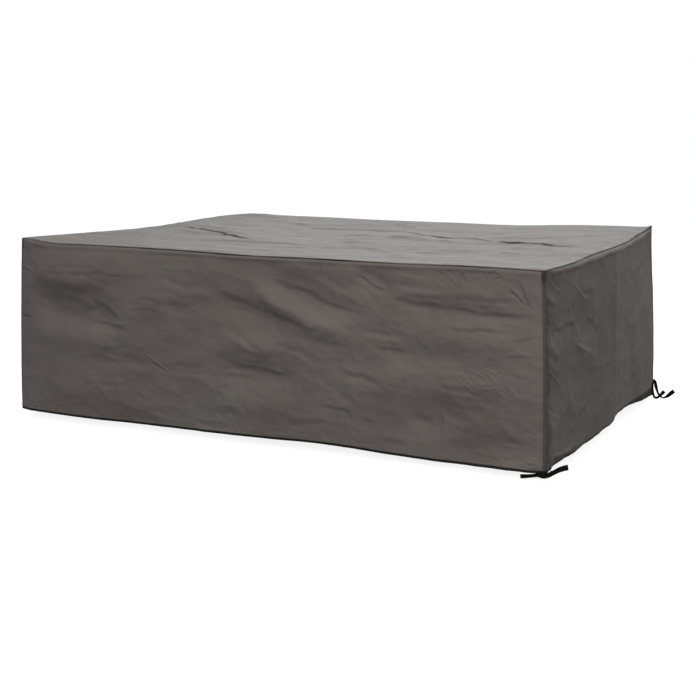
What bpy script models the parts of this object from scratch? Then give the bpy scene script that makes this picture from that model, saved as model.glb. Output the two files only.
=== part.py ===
"""A fitted cloth cover for a long low garden lounge set, hanging from its top as it does in use.

Units are metres and +Z is up. The long front faces -Y. The origin is the middle of the underside
of the top panel, which is what the cover hangs from. Five cut panels meet at mitred seams, and two
pairs of webbing ties hang from the hem.
"""

from collections import namedtuple

import bmesh
import bpy
import numpy as np

# ---- Driving sizes -------------------------------------------------------------------------
LENGTH = 2.20            # along the front, between the walls at the seam
DEPTH = 1.406            # front to back, between the walls at the seam
DROP = 0.695             # height of the walls, seam to hem
SEAM_LEVEL = 0.0145      # the top seam's level above the middle of the top, which sags a little
FLARE_Y = 0.012          # how far the long walls lean out at the hem
CLOTH = 0.0016           # coated cloth
HEM_BAND = 0.025         # width of the folded hem
HEM_CLOTH = 0.0026       # the hem is cloth on cloth
SEAM_GAP = 0.0003        # between two panels that are sewn together

SEAM_PUFF = 0.004        # the cloth swells this far beside a seam
SEAM_REACH = 0.012       # and does so over this width
FOLD_CLEAR_SEAM = 0.045  # folds fade out over this distance from the top seam
FOLD_CLEAR_CORNER = 0.06 # and from a corner seam
FOLD_END = 0.30          # share of a fold's length over which each of its ends fades
CORNER_LEAN = 1.6        # a corner's lean: 1 is straight, and more leans most at the top

# The grid each panel is built on: cells along X, along Y and down the walls.
CELLS_X = 46
CELLS_Y = 28
CELLS_DOWN = 15
SEAM_ROW = 0.012         # first grid line in from a seam

TIE_THICK = 0.0018       # webbing, 20 mm wide where it isn't bunched
TIE_STEPS = 24           # lengths that one tie is built of
TIE_NUDGE = 0.0005       # the step along a tie that its direction is read over

TAUPE = (0.105, 0.096, 0.088)
BLACK = (0.010, 0.010, 0.010)

# ---- Corners -------------------------------------------------------------------------------
# side: which quarter the corner is in; tuck: how far the sewn corner is drawn in at the top;
# rise and hem_rise: how far it stands above the level of the seam and of the hem; flare_x: how far
# the short wall leans out there at the hem.
Corner = namedtuple("Corner", "side_x side_y tuck_x tuck_y rise hem_rise flare_x")
CORNERS = {
    "front_left": Corner(-1, -1, 0.006, 0.006, 0.000, 0.001, 0.012),
    "front_right": Corner(1, -1, 0.010, 0.010, 0.003, -0.002, 0.018),
    "back_right": Corner(1, 1, 0.013, 0.016, 0.010, -0.014, 0.013),
    "back_left": Corner(-1, 1, 0.020, 0.024, -0.056, 0.003, 0.018),
}

# ---- Edge lines ----------------------------------------------------------------------------
# along: X on the long walls, Y on the short ones; rise: up from the straight line between the
# corners; out: how far the line wanders away from the middle of the cover.
Line = namedtuple("Line", "along rise out")
SEAM_LINES = {
    "front": (
        Line(-1.10, 0.000, 0.000), Line(-0.95, -0.012, 0.002), Line(-0.78, -0.010, 0.003),
        Line(-0.35, -0.008, 0.000), Line(-0.08, -0.012, -0.002), Line(0.22, -0.007, 0.002),
        Line(0.57, -0.005, 0.000), Line(0.80, 0.001, 0.003), Line(1.10, 0.000, 0.000),
    ),
    "right": (
        Line(-0.70, 0.000, 0.000), Line(-0.55, -0.005, 0.002), Line(-0.40, -0.010, 0.004),
        Line(-0.20, -0.010, 0.005), Line(0.00, -0.013, 0.006), Line(0.20, -0.016, 0.006),
        Line(0.36, -0.016, 0.004), Line(0.46, -0.010, 0.001), Line(0.58, -0.006, -0.002),
        Line(0.70, 0.000, 0.000),
    ),
    "back": (
        Line(-1.10, 0.000, 0.000), Line(-0.90, 0.022, -0.004), Line(-0.55, 0.019, 0.000),
        Line(-0.15, 0.008, 0.002), Line(0.20, 0.002, 0.000), Line(0.50, -0.004, 0.000),
        Line(0.80, 0.002, 0.002), Line(1.10, 0.000, 0.000),
    ),
    "left": (
        Line(-0.70, 0.000, 0.000), Line(-0.35, -0.006, 0.003), Line(0.05, -0.013, 0.000),
        Line(0.30, -0.013, 0.001), Line(0.55, -0.005, 0.002), Line(0.70, 0.000, 0.000),
    ),
}
HEM_LINES = {
    "front": (
        Line(-1.12, 0.000, 0.000), Line(-0.94, -0.002, 0.004), Line(-0.50, -0.002, -0.004),
        Line(-0.10, 0.001, 0.004), Line(0.30, 0.006, -0.003), Line(0.53, 0.001, 0.004),
        Line(0.76, -0.004, 0.000), Line(0.99, 0.000, 0.003), Line(1.12, 0.000, 0.000),
    ),
    "right": (
        Line(-0.71, 0.000, 0.000), Line(-0.44, 0.007, 0.004), Line(-0.07, 0.015, 0.000),
        Line(0.09, 0.014, -0.006), Line(0.16, 0.024, -0.014), Line(0.31, 0.029, -0.016),
        Line(0.50, 0.012, -0.006), Line(0.71, 0.000, 0.000),
    ),
    "back": (
        Line(-1.12, 0.000, 0.000), Line(-0.70, 0.004, 0.008), Line(-0.20, -0.003, -0.006),
        Line(0.40, 0.005, 0.006), Line(0.85, -0.002, -0.004), Line(1.12, 0.000, 0.000),
    ),
    "left": (
        Line(-0.71, 0.000, 0.000), Line(-0.30, 0.005, 0.007), Line(0.20, -0.003, -0.005),
        Line(0.71, 0.000, 0.000),
    ),
}

# ---- Shoulders -----------------------------------------------------------------------------
# Below the top seam each wall rolls outwards: reach is how far, over a height of fall.
Shoulder = namedtuple("Shoulder", "along reach fall")
SHOULDERS = {
    "front": (
        Shoulder(-1.10, 0.012, 0.070), Shoulder(-0.80, 0.016, 0.065),
        Shoulder(-0.50, 0.012, 0.055), Shoulder(-0.20, 0.005, 0.030),
        Shoulder(0.30, 0.003, 0.020), Shoulder(1.10, 0.003, 0.020),
    ),
    "right": (
        Shoulder(-0.70, 0.003, 0.020), Shoulder(-0.45, 0.006, 0.022), Shoulder(-0.15, 0.011, 0.030),
        Shoulder(0.30, 0.011, 0.036), Shoulder(0.70, 0.004, 0.045),
    ),
    "back": (
        Shoulder(-1.10, 0.012, 0.070), Shoulder(0.00, 0.008, 0.050), Shoulder(1.10, 0.008, 0.045),
    ),
    "left": (
        Shoulder(-0.70, 0.003, 0.050), Shoulder(0.00, 0.006, 0.070), Shoulder(0.70, 0.006, 0.080),
    ),
}

# ---- Folds ---------------------------------------------------------------------------------
# A fold runs from (s0, t0) to (s1, t1). On a wall s is X or Y and t is the depth below the seam;
# on the top s is X and t is Y. bow bends it sideways in its middle, towards larger t where s1 is
# the larger end. width is half its breadth, and height is outwards, so a trough's is negative.
# lean above 0 makes the side of larger t the gentle one.
Fold = namedtuple("Fold", "s0 t0 s1 t1 bow width height lean")
FOLDS = {
    "front": (
        # the big dent at the left, with the bulges above and below it
        Fold(-1.08, 0.100, -0.50, 0.085, 0.00, 0.060, 0.013, 0.0),
        Fold(-1.07, 0.235, -0.58, 0.265, 0.03, 0.062, -0.030, -0.2),
        Fold(-1.06, 0.360, -0.62, 0.350, 0.00, 0.060, 0.008, 0.0),
        Fold(-0.73, 0.185, -0.52, 0.330, -0.02, 0.040, 0.010, 0.2),
        Fold(-0.60, 0.330, -0.42, 0.255, 0.00, 0.050, -0.010, 0.0),
        Fold(-0.80, 0.460, -0.48, 0.420, 0.02, 0.050, -0.009, 0.0),
        Fold(-1.00, 0.560, -0.40, 0.600, 0.02, 0.060, 0.009, 0.0),
        # the long diagonal ridge of the middle, with the troughs either side
        Fold(-0.03, 0.040, 0.44, 0.215, 0.02, 0.050, -0.018, 0.0),
        Fold(-0.08, 0.090, 0.42, 0.300, 0.03, 0.045, 0.019, -0.2),
        Fold(-0.24, 0.150, 0.16, 0.270, 0.01, 0.050, -0.019, 0.3),
        Fold(-0.20, 0.330, 0.10, 0.365, 0.00, 0.048, 0.014, 0.0),
        Fold(-0.18, 0.440, 0.18, 0.460, 0.01, 0.055, -0.021, 0.0),
        Fold(-0.30, 0.520, 0.24, 0.575, 0.02, 0.060, 0.009, 0.0),
        Fold(-0.42, 0.240, -0.20, 0.200, 0.00, 0.050, -0.009, 0.0),
        # the soft folds that run to the near corner
        Fold(0.36, 0.020, 0.56, 0.130, 0.00, 0.045, -0.012, 0.2),
        Fold(0.50, 0.150, 1.06, 0.180, -0.02, 0.045, -0.013, 0.0),
        Fold(0.55, 0.095, 1.00, 0.090, 0.02, 0.040, 0.009, 0.0),
        Fold(0.60, 0.240, 1.05, 0.250, 0.02, 0.050, 0.011, 0.0),
        Fold(0.45, 0.340, 0.85, 0.320, 0.00, 0.050, -0.011, 0.0),
        Fold(0.60, 0.430, 1.02, 0.400, 0.02, 0.055, 0.012, 0.0),
        Fold(0.30, 0.500, 0.62, 0.400, 0.00, 0.055, 0.010, 0.0),
        Fold(0.55, 0.560, 0.82, 0.500, 0.00, 0.060, -0.013, 0.0),
        Fold(0.74, 0.640, 1.10, 0.610, 0.00, 0.045, -0.007, 0.0),
    ),
    "right": (
        Fold(-0.46, 0.050, -0.14, 0.200, 0.02, 0.045, 0.010, -0.2),
        Fold(-0.58, 0.140, -0.20, 0.290, 0.02, 0.055, -0.010, 0.0),
        Fold(-0.48, 0.240, -0.12, 0.400, 0.02, 0.045, 0.010, -0.2),
        Fold(-0.56, 0.380, -0.18, 0.460, 0.00, 0.060, -0.010, 0.0),
        Fold(-0.49, 0.280, -0.48, 0.580, 0.00, 0.040, 0.005, 0.0),
        Fold(-0.02, 0.120, 0.10, 0.660, -0.02, 0.050, -0.010, 0.0),
        Fold(0.16, 0.200, 0.20, 0.690, 0.00, 0.045, 0.009, 0.0),
        Fold(0.28, 0.300, 0.36, 0.690, -0.02, 0.040, -0.009, 0.0),
        Fold(0.40, 0.220, 0.44, 0.690, 0.02, 0.042, 0.008, 0.0),
        Fold(0.58, 0.320, 0.52, 0.690, 0.00, 0.042, -0.008, 0.0),
        Fold(-0.68, 0.665, -0.20, 0.650, 0.02, 0.035, 0.008, 0.0),
    ),
    "back": (
        Fold(-0.90, 0.120, -0.30, 0.260, 0.02, 0.070, -0.014, 0.0),
        Fold(-0.10, 0.300, 0.60, 0.180, -0.02, 0.070, 0.012, 0.0),
        Fold(0.30, 0.420, 0.95, 0.500, 0.02, 0.070, -0.012, 0.0),
        Fold(-0.80, 0.480, -0.10, 0.420, 0.00, 0.070, 0.010, 0.0),
    ),
    "left": (
        Fold(-0.55, 0.240, 0.10, 0.300, 0.02, 0.070, -0.013, 0.0),
        Fold(-0.10, 0.430, 0.50, 0.360, 0.00, 0.070, 0.011, 0.0),
        Fold(-0.50, 0.540, 0.10, 0.580, 0.00, 0.060, -0.009, 0.0),
    ),
    "top": (
        # the two long creases, each a sharp drop behind a low swell
        Fold(-0.95, 0.330, -0.30, -0.200, 0.03, 0.050, 0.008, 0.3),
        Fold(-0.22, 0.210, 0.62, 0.040, 0.02, 0.050, 0.009, 0.3),
        Fold(0.50, 0.080, 1.05, 0.120, -0.02, 0.050, 0.008, 0.3),
        # slack between them
        Fold(-0.85, -0.420, -0.10, -0.360, 0.02, 0.070, -0.007, 0.0),
        Fold(-0.05, -0.300, 0.80, -0.220, -0.03, 0.070, -0.008, 0.0),
        Fold(-0.60, 0.420, 0.30, 0.470, 0.02, 0.070, -0.008, 0.0),
        Fold(0.20, 0.330, 0.95, 0.380, -0.02, 0.070, 0.007, 0.0),
        Fold(-0.90, -0.150, -0.45, -0.060, 0.00, 0.070, -0.008, 0.0),
        Fold(0.30, -0.500, 0.95, -0.480, 0.01, 0.060, 0.006, 0.0),
    ),
}

# ---- Hollows beside the corner seams ---------------------------------------------------------
# The stiff seam stands proud, and the wall sinks beside it: wide is how far from the seam it is
# deepest, and t0 to t1 its height on the wall. corner is the end of the wall it lies at.
Hollow = namedtuple("Hollow", "corner t0 t1 wide deep")
HOLLOWS = {
    "front": (Hollow("front_left", 0.20, 0.62, 0.035, 0.006),),
    "right": (
        Hollow("front_right", -0.03, 0.15, 0.040, 0.013),
        Hollow("front_right", 0.10, 0.30, 0.036, 0.011),
        Hollow("front_right", 0.26, 0.56, 0.030, 0.009),
        Hollow("back_right", -0.02, 0.30, 0.036, 0.008),
    ),
    "back": (
        Hollow("back_right", 0.05, 0.50, 0.036, 0.008),
        Hollow("back_left", 0.05, 0.50, 0.036, 0.008),
    ),
    "left": (
        Hollow("back_left", 0.05, 0.50, 0.036, 0.008),
        Hollow("front_left", 0.10, 0.50, 0.036, 0.008),
    ),
}

# A wall runs between two corners towards larger X or Y, and faces out.
Wall = namedtuple("Wall", "start end out")
WALLS = {
    "front": Wall("front_left", "front_right", (0, -1, 0)),
    "right": Wall("front_right", "back_right", (1, 0, 0)),
    "back": Wall("back_left", "back_right", (0, 1, 0)),
    "left": Wall("front_left", "back_left", (-1, 0, 0)),
}
UP = np.array((0.0, 0.0, 1.0))

# ---- Ties ----------------------------------------------------------------------------------
# Waypoints of each tie's middle line, from the hem to the cut end. drop is the depth below the
# level of the top seam. facing turns the webbing's flat face from -Y (0) towards +X (90), lean
# tips it up, in degrees, and width is less where the webbing is bunched.
Waypoint = namedtuple("Waypoint", "x y drop facing lean width")
TIES = {
    # sewn into the front hem, under the corner and out past the short wall
    "tie_front_right_a": (
        Waypoint(1.0890, -0.7182, 0.6976, 0, 0, 0.014), Waypoint(1.0892, -0.7198, 0.7008, 0, 0, 0.011),
        Waypoint(1.0930, -0.7224, 0.7024, 0, 0, 0.013), Waypoint(1.1040, -0.7232, 0.7030, 10, 0, 0.019),
        Waypoint(1.1180, -0.7220, 0.7026, 35, 0, 0.020), Waypoint(1.1300, -0.7120, 0.6998, 50, 0, 0.019),
        Waypoint(1.1410, -0.6960, 0.6945, 60, 5, 0.018), Waypoint(1.1510, -0.6740, 0.6902, 65, 10, 0.019),
        Waypoint(1.1620, -0.6500, 0.6888, 65, 12, 0.020), Waypoint(1.1705, -0.6300, 0.6893, 65, 15, 0.020),
    ),
    # sewn into the short wall's hem, round behind the first and along below the front
    "tie_front_right_b": (
        Waypoint(1.1222, -0.6730, 0.6974, 90, 0, 0.016), Waypoint(1.1222, -0.6732, 0.7008, 90, 0, 0.014),
        Waypoint(1.1215, -0.6790, 0.7063, 90, 0, 0.013), Waypoint(1.1180, -0.6910, 0.7083, 80, 0, 0.014),
        Waypoint(1.1110, -0.7030, 0.7075, 55, 0, 0.014), Waypoint(1.0990, -0.7105, 0.7055, 25, 0, 0.013),
        Waypoint(1.0820, -0.7140, 0.7070, 5, 0, 0.013), Waypoint(1.0600, -0.7150, 0.7117, 0, 0, 0.013),
        Waypoint(1.0360, -0.7157, 0.7155, 0, 0, 0.015), Waypoint(1.0262, -0.7160, 0.7166, 0, 0, 0.015),
    ),
    # sewn to the back wall at its corner, down, turned edge up, and out along X
    "tie_back_right_a": (
        Waypoint(1.1040, 0.7186, 0.6480, 180, 0, 0.014), Waypoint(1.1135, 0.7198, 0.6490, 180, 0, 0.014),
        Waypoint(1.1205, 0.7212, 0.6545, 180, 0, 0.014), Waypoint(1.1237, 0.7217, 0.6645, 180, 0, 0.014),
        Waypoint(1.1264, 0.7220, 0.6764, 180, 0, 0.014), Waypoint(1.1303, 0.7223, 0.6891, 180, 0, 0.011),
        Waypoint(1.1361, 0.7225, 0.7035, 180, 0, 0.009), Waypoint(1.1430, 0.7225, 0.7130, 180, 10, 0.009),
        Waypoint(1.1520, 0.7222, 0.7195, 175, 40, 0.009), Waypoint(1.1610, 0.7215, 0.7210, 172, 60, 0.010),
        Waypoint(1.1696, 0.7205, 0.7175, 168, 50, 0.012), Waypoint(1.1800, 0.7200, 0.7090, 165, 30, 0.015),
        Waypoint(1.1924, 0.7185, 0.6966, 160, 20, 0.017), Waypoint(1.2055, 0.7165, 0.6850, 160, 20, 0.017),
    ),
    # sewn to the short wall beside it, down, and up again across the first
    "tie_back_right_b": (
        Waypoint(1.1181, 0.7010, 0.6540, 90, 0, 0.018), Waypoint(1.1184, 0.7015, 0.6850, 90, 0, 0.018),
        Waypoint(1.1190, 0.7050, 0.6990, 80, 0, 0.016), Waypoint(1.1200, 0.7085, 0.7110, 65, 0, 0.012),
        Waypoint(1.1245, 0.7110, 0.7195, 40, 10, 0.010), Waypoint(1.1330, 0.7120, 0.7205, 15, 10, 0.010),
        Waypoint(1.1435, 0.7120, 0.7135, 5, 0, 0.010), Waypoint(1.1559, 0.7120, 0.7000, 0, 0, 0.014),
        Waypoint(1.1649, 0.7120, 0.6890, 0, 0, 0.016),
    ),
}


def smooth(places, values, where, flat_ends):
    """A smooth curve through values at places, read at where; flat_ends levels it off."""
    slopes = np.gradient(values, places)
    if flat_ends:
        slopes[0] = slopes[-1] = 0.0
    where = np.clip(where, places[0], places[-1])
    cell = np.clip(np.searchsorted(places, where, side="right") - 1, 0, len(places) - 2)
    span = places[cell + 1] - places[cell]
    x = (where - places[cell]) / span
    return (values[cell] * (1 + 2 * x) * (1 - x) ** 2 + slopes[cell] * span * x * (1 - x) ** 2
            + values[cell + 1] * x ** 2 * (3 - 2 * x) - slopes[cell + 1] * span * x ** 2 * (1 - x))


def profile(rows, where, column):
    """Read one column of a table of rows at the places in where."""
    places = np.array([row[0] for row in rows])
    values = np.array([getattr(row, column) for row in rows])
    return smooth(places, values, where, flat_ends=True)


def ease(x):
    """0 below 0, 1 above 1, and a smooth step between."""
    x = np.clip(x, 0.0, 1.0)
    return x * x * (3 - 2 * x)


def fold_relief(folds, s, t):
    """Sum of the folds of one panel at the places (s, t)."""
    total = np.zeros_like(s)
    for fold in folds:
        run, fall = fold.s1 - fold.s0, fold.t1 - fold.t0
        length = np.hypot(run, fall)
        along = ((s - fold.s0) * run + (t - fold.t0) * fall) / length ** 2
        across = ((t - fold.t0) * run - (s - fold.s0) * fall) / length
        across = across - fold.bow * 4 * along * (1 - along)
        ends = ease(along / FOLD_END) * ease((1 - along) / FOLD_END)
        width = fold.width * (1 + fold.lean * np.tanh(across / fold.width))
        total += fold.height * ends * np.exp(-(across / width) ** 2)
    return total


def corner_line(name, v):
    """The seam of a corner, from the top at v = 0 to the hem at v = 1."""
    corner = CORNERS[name]
    top = np.array((corner.side_x * (LENGTH / 2 - corner.tuck_x),
                    corner.side_y * (DEPTH / 2 - corner.tuck_y), SEAM_LEVEL + corner.rise))
    hem = np.array((corner.side_x * (LENGTH / 2 + corner.flare_x),
                    corner.side_y * (DEPTH / 2 + FLARE_Y), SEAM_LEVEL - DROP + corner.hem_rise))
    v = np.asarray(v, dtype=float)[..., None]
    spread = 1 - (1 - v) ** CORNER_LEAN
    line = top + (hem - top) * spread
    line[..., 2:] = top[2] + (hem[2] - top[2]) * v
    return line


def edge_line(wall_name, table, level, u):
    """The top seam (level 0) or the hem (level 1) of a wall, at the shares u of its length."""
    wall = WALLS[wall_name]
    start, end = corner_line(wall.start, level), corner_line(wall.end, level)
    axis = 0 if wall.out[0] == 0 else 1
    u = np.asarray(u, dtype=float)
    line = start + (end - start) * u[..., None]
    place = line[..., axis]
    line = line + UP * profile(table, place, "rise")[..., None]
    return line + np.array(wall.out) * profile(table, place, "out")[..., None]


def wall_relief(name, u, s, t):
    """How far the wall's cloth stands out from the plain surface between its seams."""
    wall = WALLS[name]
    length = LENGTH if wall.out[0] == 0 else DEPTH
    from_corner = np.minimum(u, 1 - u) * length
    puff = SEAM_PUFF * (1 - np.exp(-(t / SEAM_REACH) ** 2))
    puff = puff * (1 - np.exp(-(from_corner / SEAM_REACH) ** 2))
    reach = profile(SHOULDERS[name], s, "reach")
    fall = profile(SHOULDERS[name], s, "fall")
    roll = np.sqrt(1 - (1 - np.clip(t / fall, 0, 1)) ** 2)
    shoulder = reach * roll * ease(from_corner / FOLD_CLEAR_CORNER)
    clear = ease(t / FOLD_CLEAR_SEAM) * ease(from_corner / FOLD_CLEAR_CORNER)
    relief = puff + shoulder + clear * fold_relief(FOLDS[name], s, t)
    for hollow in HOLLOWS[name]:
        away = (u if hollow.corner == wall.start else 1 - u) * length / hollow.wide
        middle, half = (hollow.t0 + hollow.t1) / 2, (hollow.t1 - hollow.t0) / 2
        height = ease(1 - np.abs(t - middle) / half)
        relief = relief - hollow.deep * away * np.exp(1 - away) * height * ease(t / SEAM_REACH)
    return relief


def wall_surface(name, us, vs):
    """Outer surface of a wall as a grid of points, rows going down and columns along it."""
    wall = WALLS[name]
    v, u = np.meshgrid(vs, us, indexing="ij")
    seam = edge_line(name, SEAM_LINES[name], 0.0, us)[None]
    hem = edge_line(name, HEM_LINES[name], 1.0, us)[None]
    plain = seam + (hem - seam) * v[..., None]
    for corner, share in ((wall.start, 1 - u), (wall.end, u)):
        line = corner_line(corner, vs)
        straight = line[:1] + (line[-1:] - line[:1]) * np.asarray(vs)[:, None]
        plain = plain + share[..., None] * (line - straight)[:, None]
    axis = 0 if wall.out[0] == 0 else 1
    relief = wall_relief(name, u, plain[..., axis], v * DROP)
    return plain + np.array(wall.out) * relief[..., None]


def top_surface(us, vs):
    """Outer surface of the top panel as a grid of points, rows going back and columns along X."""
    v, u = np.meshgrid(vs, us, indexing="ij")
    u3, v3 = u[..., None], v[..., None]
    front = edge_line("front", SEAM_LINES["front"], 0.0, us)[None]
    back = edge_line("back", SEAM_LINES["back"], 0.0, us)[None]
    left = edge_line("left", SEAM_LINES["left"], 0.0, vs)[:, None]
    right = edge_line("right", SEAM_LINES["right"], 0.0, vs)[:, None]
    corners = ((1 - u3) * (1 - v3) * left[0, 0] + u3 * (1 - v3) * right[0, 0]
               + (1 - u3) * v3 * left[-1, 0] + u3 * v3 * right[-1, 0])
    plain = (1 - v3) * front + v3 * back + (1 - u3) * left + u3 * right - corners
    side = np.minimum(np.minimum(u, 1 - u) * LENGTH, np.minimum(v, 1 - v) * DEPTH)
    puff = SEAM_PUFF * (1 - np.exp(-(side / SEAM_REACH) ** 2))
    folds = fold_relief(FOLDS["top"], plain[..., 0], plain[..., 1]) * ease(side / FOLD_CLEAR_CORNER)
    return plain + UP * (puff + folds)[..., None]


def surface_normals(points, outward):
    """Unit normals of a grid of points, on the side that outward points to."""
    normal = np.cross(np.gradient(points, axis=1), np.gradient(points, axis=0))
    normal /= np.linalg.norm(normal, axis=2, keepdims=True)
    return normal * np.sign(normal @ np.asarray(outward, dtype=float))[..., None]


def mitre(points, inner, outward, neighbours, thick):
    """Cut a panel's sewn edges along the mitres with its neighbours, half a gap clear of each.

    neighbours maps an edge of the grid (first_row, last_row, first_col, last_col) to the outward
    direction of the panel that is sewn there.
    """
    edges = {"first_row": (0, slice(None)), "last_row": (-1, slice(None)),
             "first_col": (slice(None), 0), "last_col": (slice(None), -1)}
    depth = np.zeros_like(points)
    shift = np.zeros_like(points)
    for edge, direction in neighbours.items():
        direction = np.asarray(direction, dtype=float)
        depth[edges[edge]] += direction
        shift[edges[edge]] += (np.asarray(outward) - direction) * SEAM_GAP / 2 / np.sqrt(2)
    sewn = np.abs(depth).sum(axis=2) > 0
    inner[sewn] = (points - thick[..., None] * (np.asarray(outward) + depth))[sewn]
    return points + shift, inner + shift


def sheet_object(name, points, inner, flip, colour):
    """One closed sheet from the grids of its outer and inner faces."""
    rows, cols = points.shape[:2]
    mesh = bmesh.new()
    outer_v = [[mesh.verts.new(points[j, i]) for i in range(cols)] for j in range(rows)]
    inner_v = [[mesh.verts.new(inner[j, i]) for i in range(cols)] for j in range(rows)]

    def quad(a, b, c, d):
        mesh.faces.new((a, d, c, b) if flip else (a, b, c, d))

    for j in range(rows - 1):
        for i in range(cols - 1):
            quad(outer_v[j][i], outer_v[j + 1][i], outer_v[j + 1][i + 1], outer_v[j][i + 1])
            quad(inner_v[j][i], inner_v[j][i + 1], inner_v[j + 1][i + 1], inner_v[j + 1][i])
    rim = [(0, i) for i in range(cols)]
    rim += [(j, cols - 1) for j in range(1, rows)]
    rim += [(rows - 1, i) for i in range(cols - 2, -1, -1)]
    rim += [(j, 0) for j in range(rows - 2, 0, -1)]
    for (j0, i0), (j1, i1) in zip(rim, rim[1:] + rim[:1]):
        quad(outer_v[j0][i0], outer_v[j1][i1], inner_v[j1][i1], inner_v[j0][i0])
    return finished(name, mesh, colour)


def finished(name, mesh, colour):
    """Turn a bmesh into a named object with its own plain cloth material."""
    data = bpy.data.meshes.new(name)
    mesh.to_mesh(data)
    mesh.free()
    data.shade_smooth()
    material = bpy.data.materials.new(name + "_cloth")
    material.use_nodes = True
    shader = material.node_tree.nodes["Principled BSDF"]
    shader.inputs["Base Color"].default_value = (*colour, 1.0)
    shader.inputs["Roughness"].default_value = 0.8
    shader.inputs["Metallic"].default_value = 0.0
    data.materials.append(material)
    obj = bpy.data.objects.new(name, data)
    bpy.context.scene.collection.objects.link(obj)
    return obj


def grid_shares(count, length, sewn_ends):
    """Shares of a length for the grid's lines, with a close line beside each sewn end."""
    close = SEAM_ROW / length
    start = close if sewn_ends[0] else 0.0
    end = 1 - close if sewn_ends[1] else 1.0
    inner = np.linspace(start, end, count - sum(sewn_ends) + 1)
    return np.concatenate(([0.0] if sewn_ends[0] else [], inner, [1.0] if sewn_ends[1] else []))


def wall_shares():
    """Shares of the drop for the rows of a wall: close below the seam, and one at the hem's top."""
    band = 1 - HEM_BAND / DROP
    rows = np.linspace(SEAM_ROW / DROP, band, CELLS_DOWN - 1)
    return np.concatenate(([0.0], rows, [1.0]))


def make_wall(name, us, vs):
    """One of the four hanging panels, with its folded hem."""
    wall = WALLS[name]
    out = np.array(wall.out, dtype=float)
    points = wall_surface(name, us, vs)
    thick = np.full(points.shape[:2], CLOTH)
    thick[-2:] = HEM_CLOTH
    inner = points - thick[..., None] * surface_normals(points, out)
    beside = {"front": ("left", "right"), "back": ("left", "right"),
              "left": ("front", "back"), "right": ("front", "back")}[name]
    neighbours = {"first_row": UP, "first_col": WALLS[beside[0]].out, "last_col": WALLS[beside[1]].out}
    points, inner = mitre(points, inner, out, neighbours, thick)
    sheet_object(name + "_panel", points, inner, flip=name in ("back", "left"), colour=TAUPE)


def make_top(us, vs):
    """The top panel, sewn to a wall along each of its edges."""
    points = top_surface(us, vs)
    thick = np.full(points.shape[:2], CLOTH)
    inner = points - CLOTH * surface_normals(points, UP)
    neighbours = {"first_row": WALLS["front"].out, "last_row": WALLS["back"].out,
                  "first_col": WALLS["left"].out, "last_col": WALLS["right"].out}
    points, inner = mitre(points, inner, UP, neighbours, thick)
    sheet_object("top_panel", points, inner, flip=True, colour=TAUPE)


def make_tie(name):
    """A strip of webbing swept along its waypoints, with its cut ends square."""
    rows = np.array(TIES[name])
    steps = np.linalg.norm(np.diff(rows[:, :3], axis=0), axis=1)
    lengths = np.concatenate(([0.0], np.cumsum(steps)))
    where = np.linspace(0.0, lengths[-1], TIE_STEPS + 1)

    def read(place):
        return [smooth(lengths, column, place, flat_ends=False) for column in rows.T]

    def line(place):
        x, y, drop = read(place)[:3]
        return np.stack((x, y, SEAM_LEVEL - drop), axis=1)

    middle = line(where)
    tangent = line(where + TIE_NUDGE) - line(where - TIE_NUDGE)
    facing, lean, width = read(where)[3:]
    facing, lean = np.radians(facing), np.radians(lean)
    level = np.cos(lean)
    face = np.stack((np.sin(facing) * level, -np.cos(facing) * level, np.sin(lean)), axis=1)
    tangent /= np.linalg.norm(tangent, axis=1, keepdims=True)
    across = np.cross(face, tangent)
    across /= np.linalg.norm(across, axis=1, keepdims=True)
    face = np.cross(tangent, across)
    mesh = bmesh.new()
    rings = []
    for point, side, out, wide in zip(middle, across, face, width):
        side, out = side * wide / 2, out * TIE_THICK / 2
        corners = (side + out, out - side, -side - out, side - out)
        rings.append([mesh.verts.new(point + corner) for corner in corners])
    for near, far in zip(rings, rings[1:]):
        for k in range(4):
            mesh.faces.new((near[k], far[k], far[(k + 1) % 4], near[(k + 1) % 4]))
    mesh.faces.new(rings[0])
    mesh.faces.new(rings[-1][::-1])
    bmesh.ops.recalc_face_normals(mesh, faces=mesh.faces)
    finished(name, mesh, BLACK)


def main():
    for obj in list(bpy.data.objects):
        bpy.data.objects.remove(obj, do_unlink=True)
    along_x = grid_shares(CELLS_X, LENGTH, (True, True))
    along_y = grid_shares(CELLS_Y, DEPTH, (True, True))
    down = wall_shares()
    make_top(along_x, along_y)
    make_wall("front", along_x, down)
    make_wall("right", along_y, down)
    make_wall("back", along_x, down)
    make_wall("left", along_y, down)
    for name in TIES:
        make_tie(name)


main()
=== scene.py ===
"""A fitted cloth cover for a long low garden lounge set: the looks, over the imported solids.

Each panel is one sheet of cloth, built from the same sizes, seams and main folds as its solid, with
the finer creases, dents and crumples laid on top. Lengths are metres in the part's own frame, and
millimetres in what table() reads.
"""

import math
import operator
from collections import namedtuple
from functools import reduce

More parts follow.
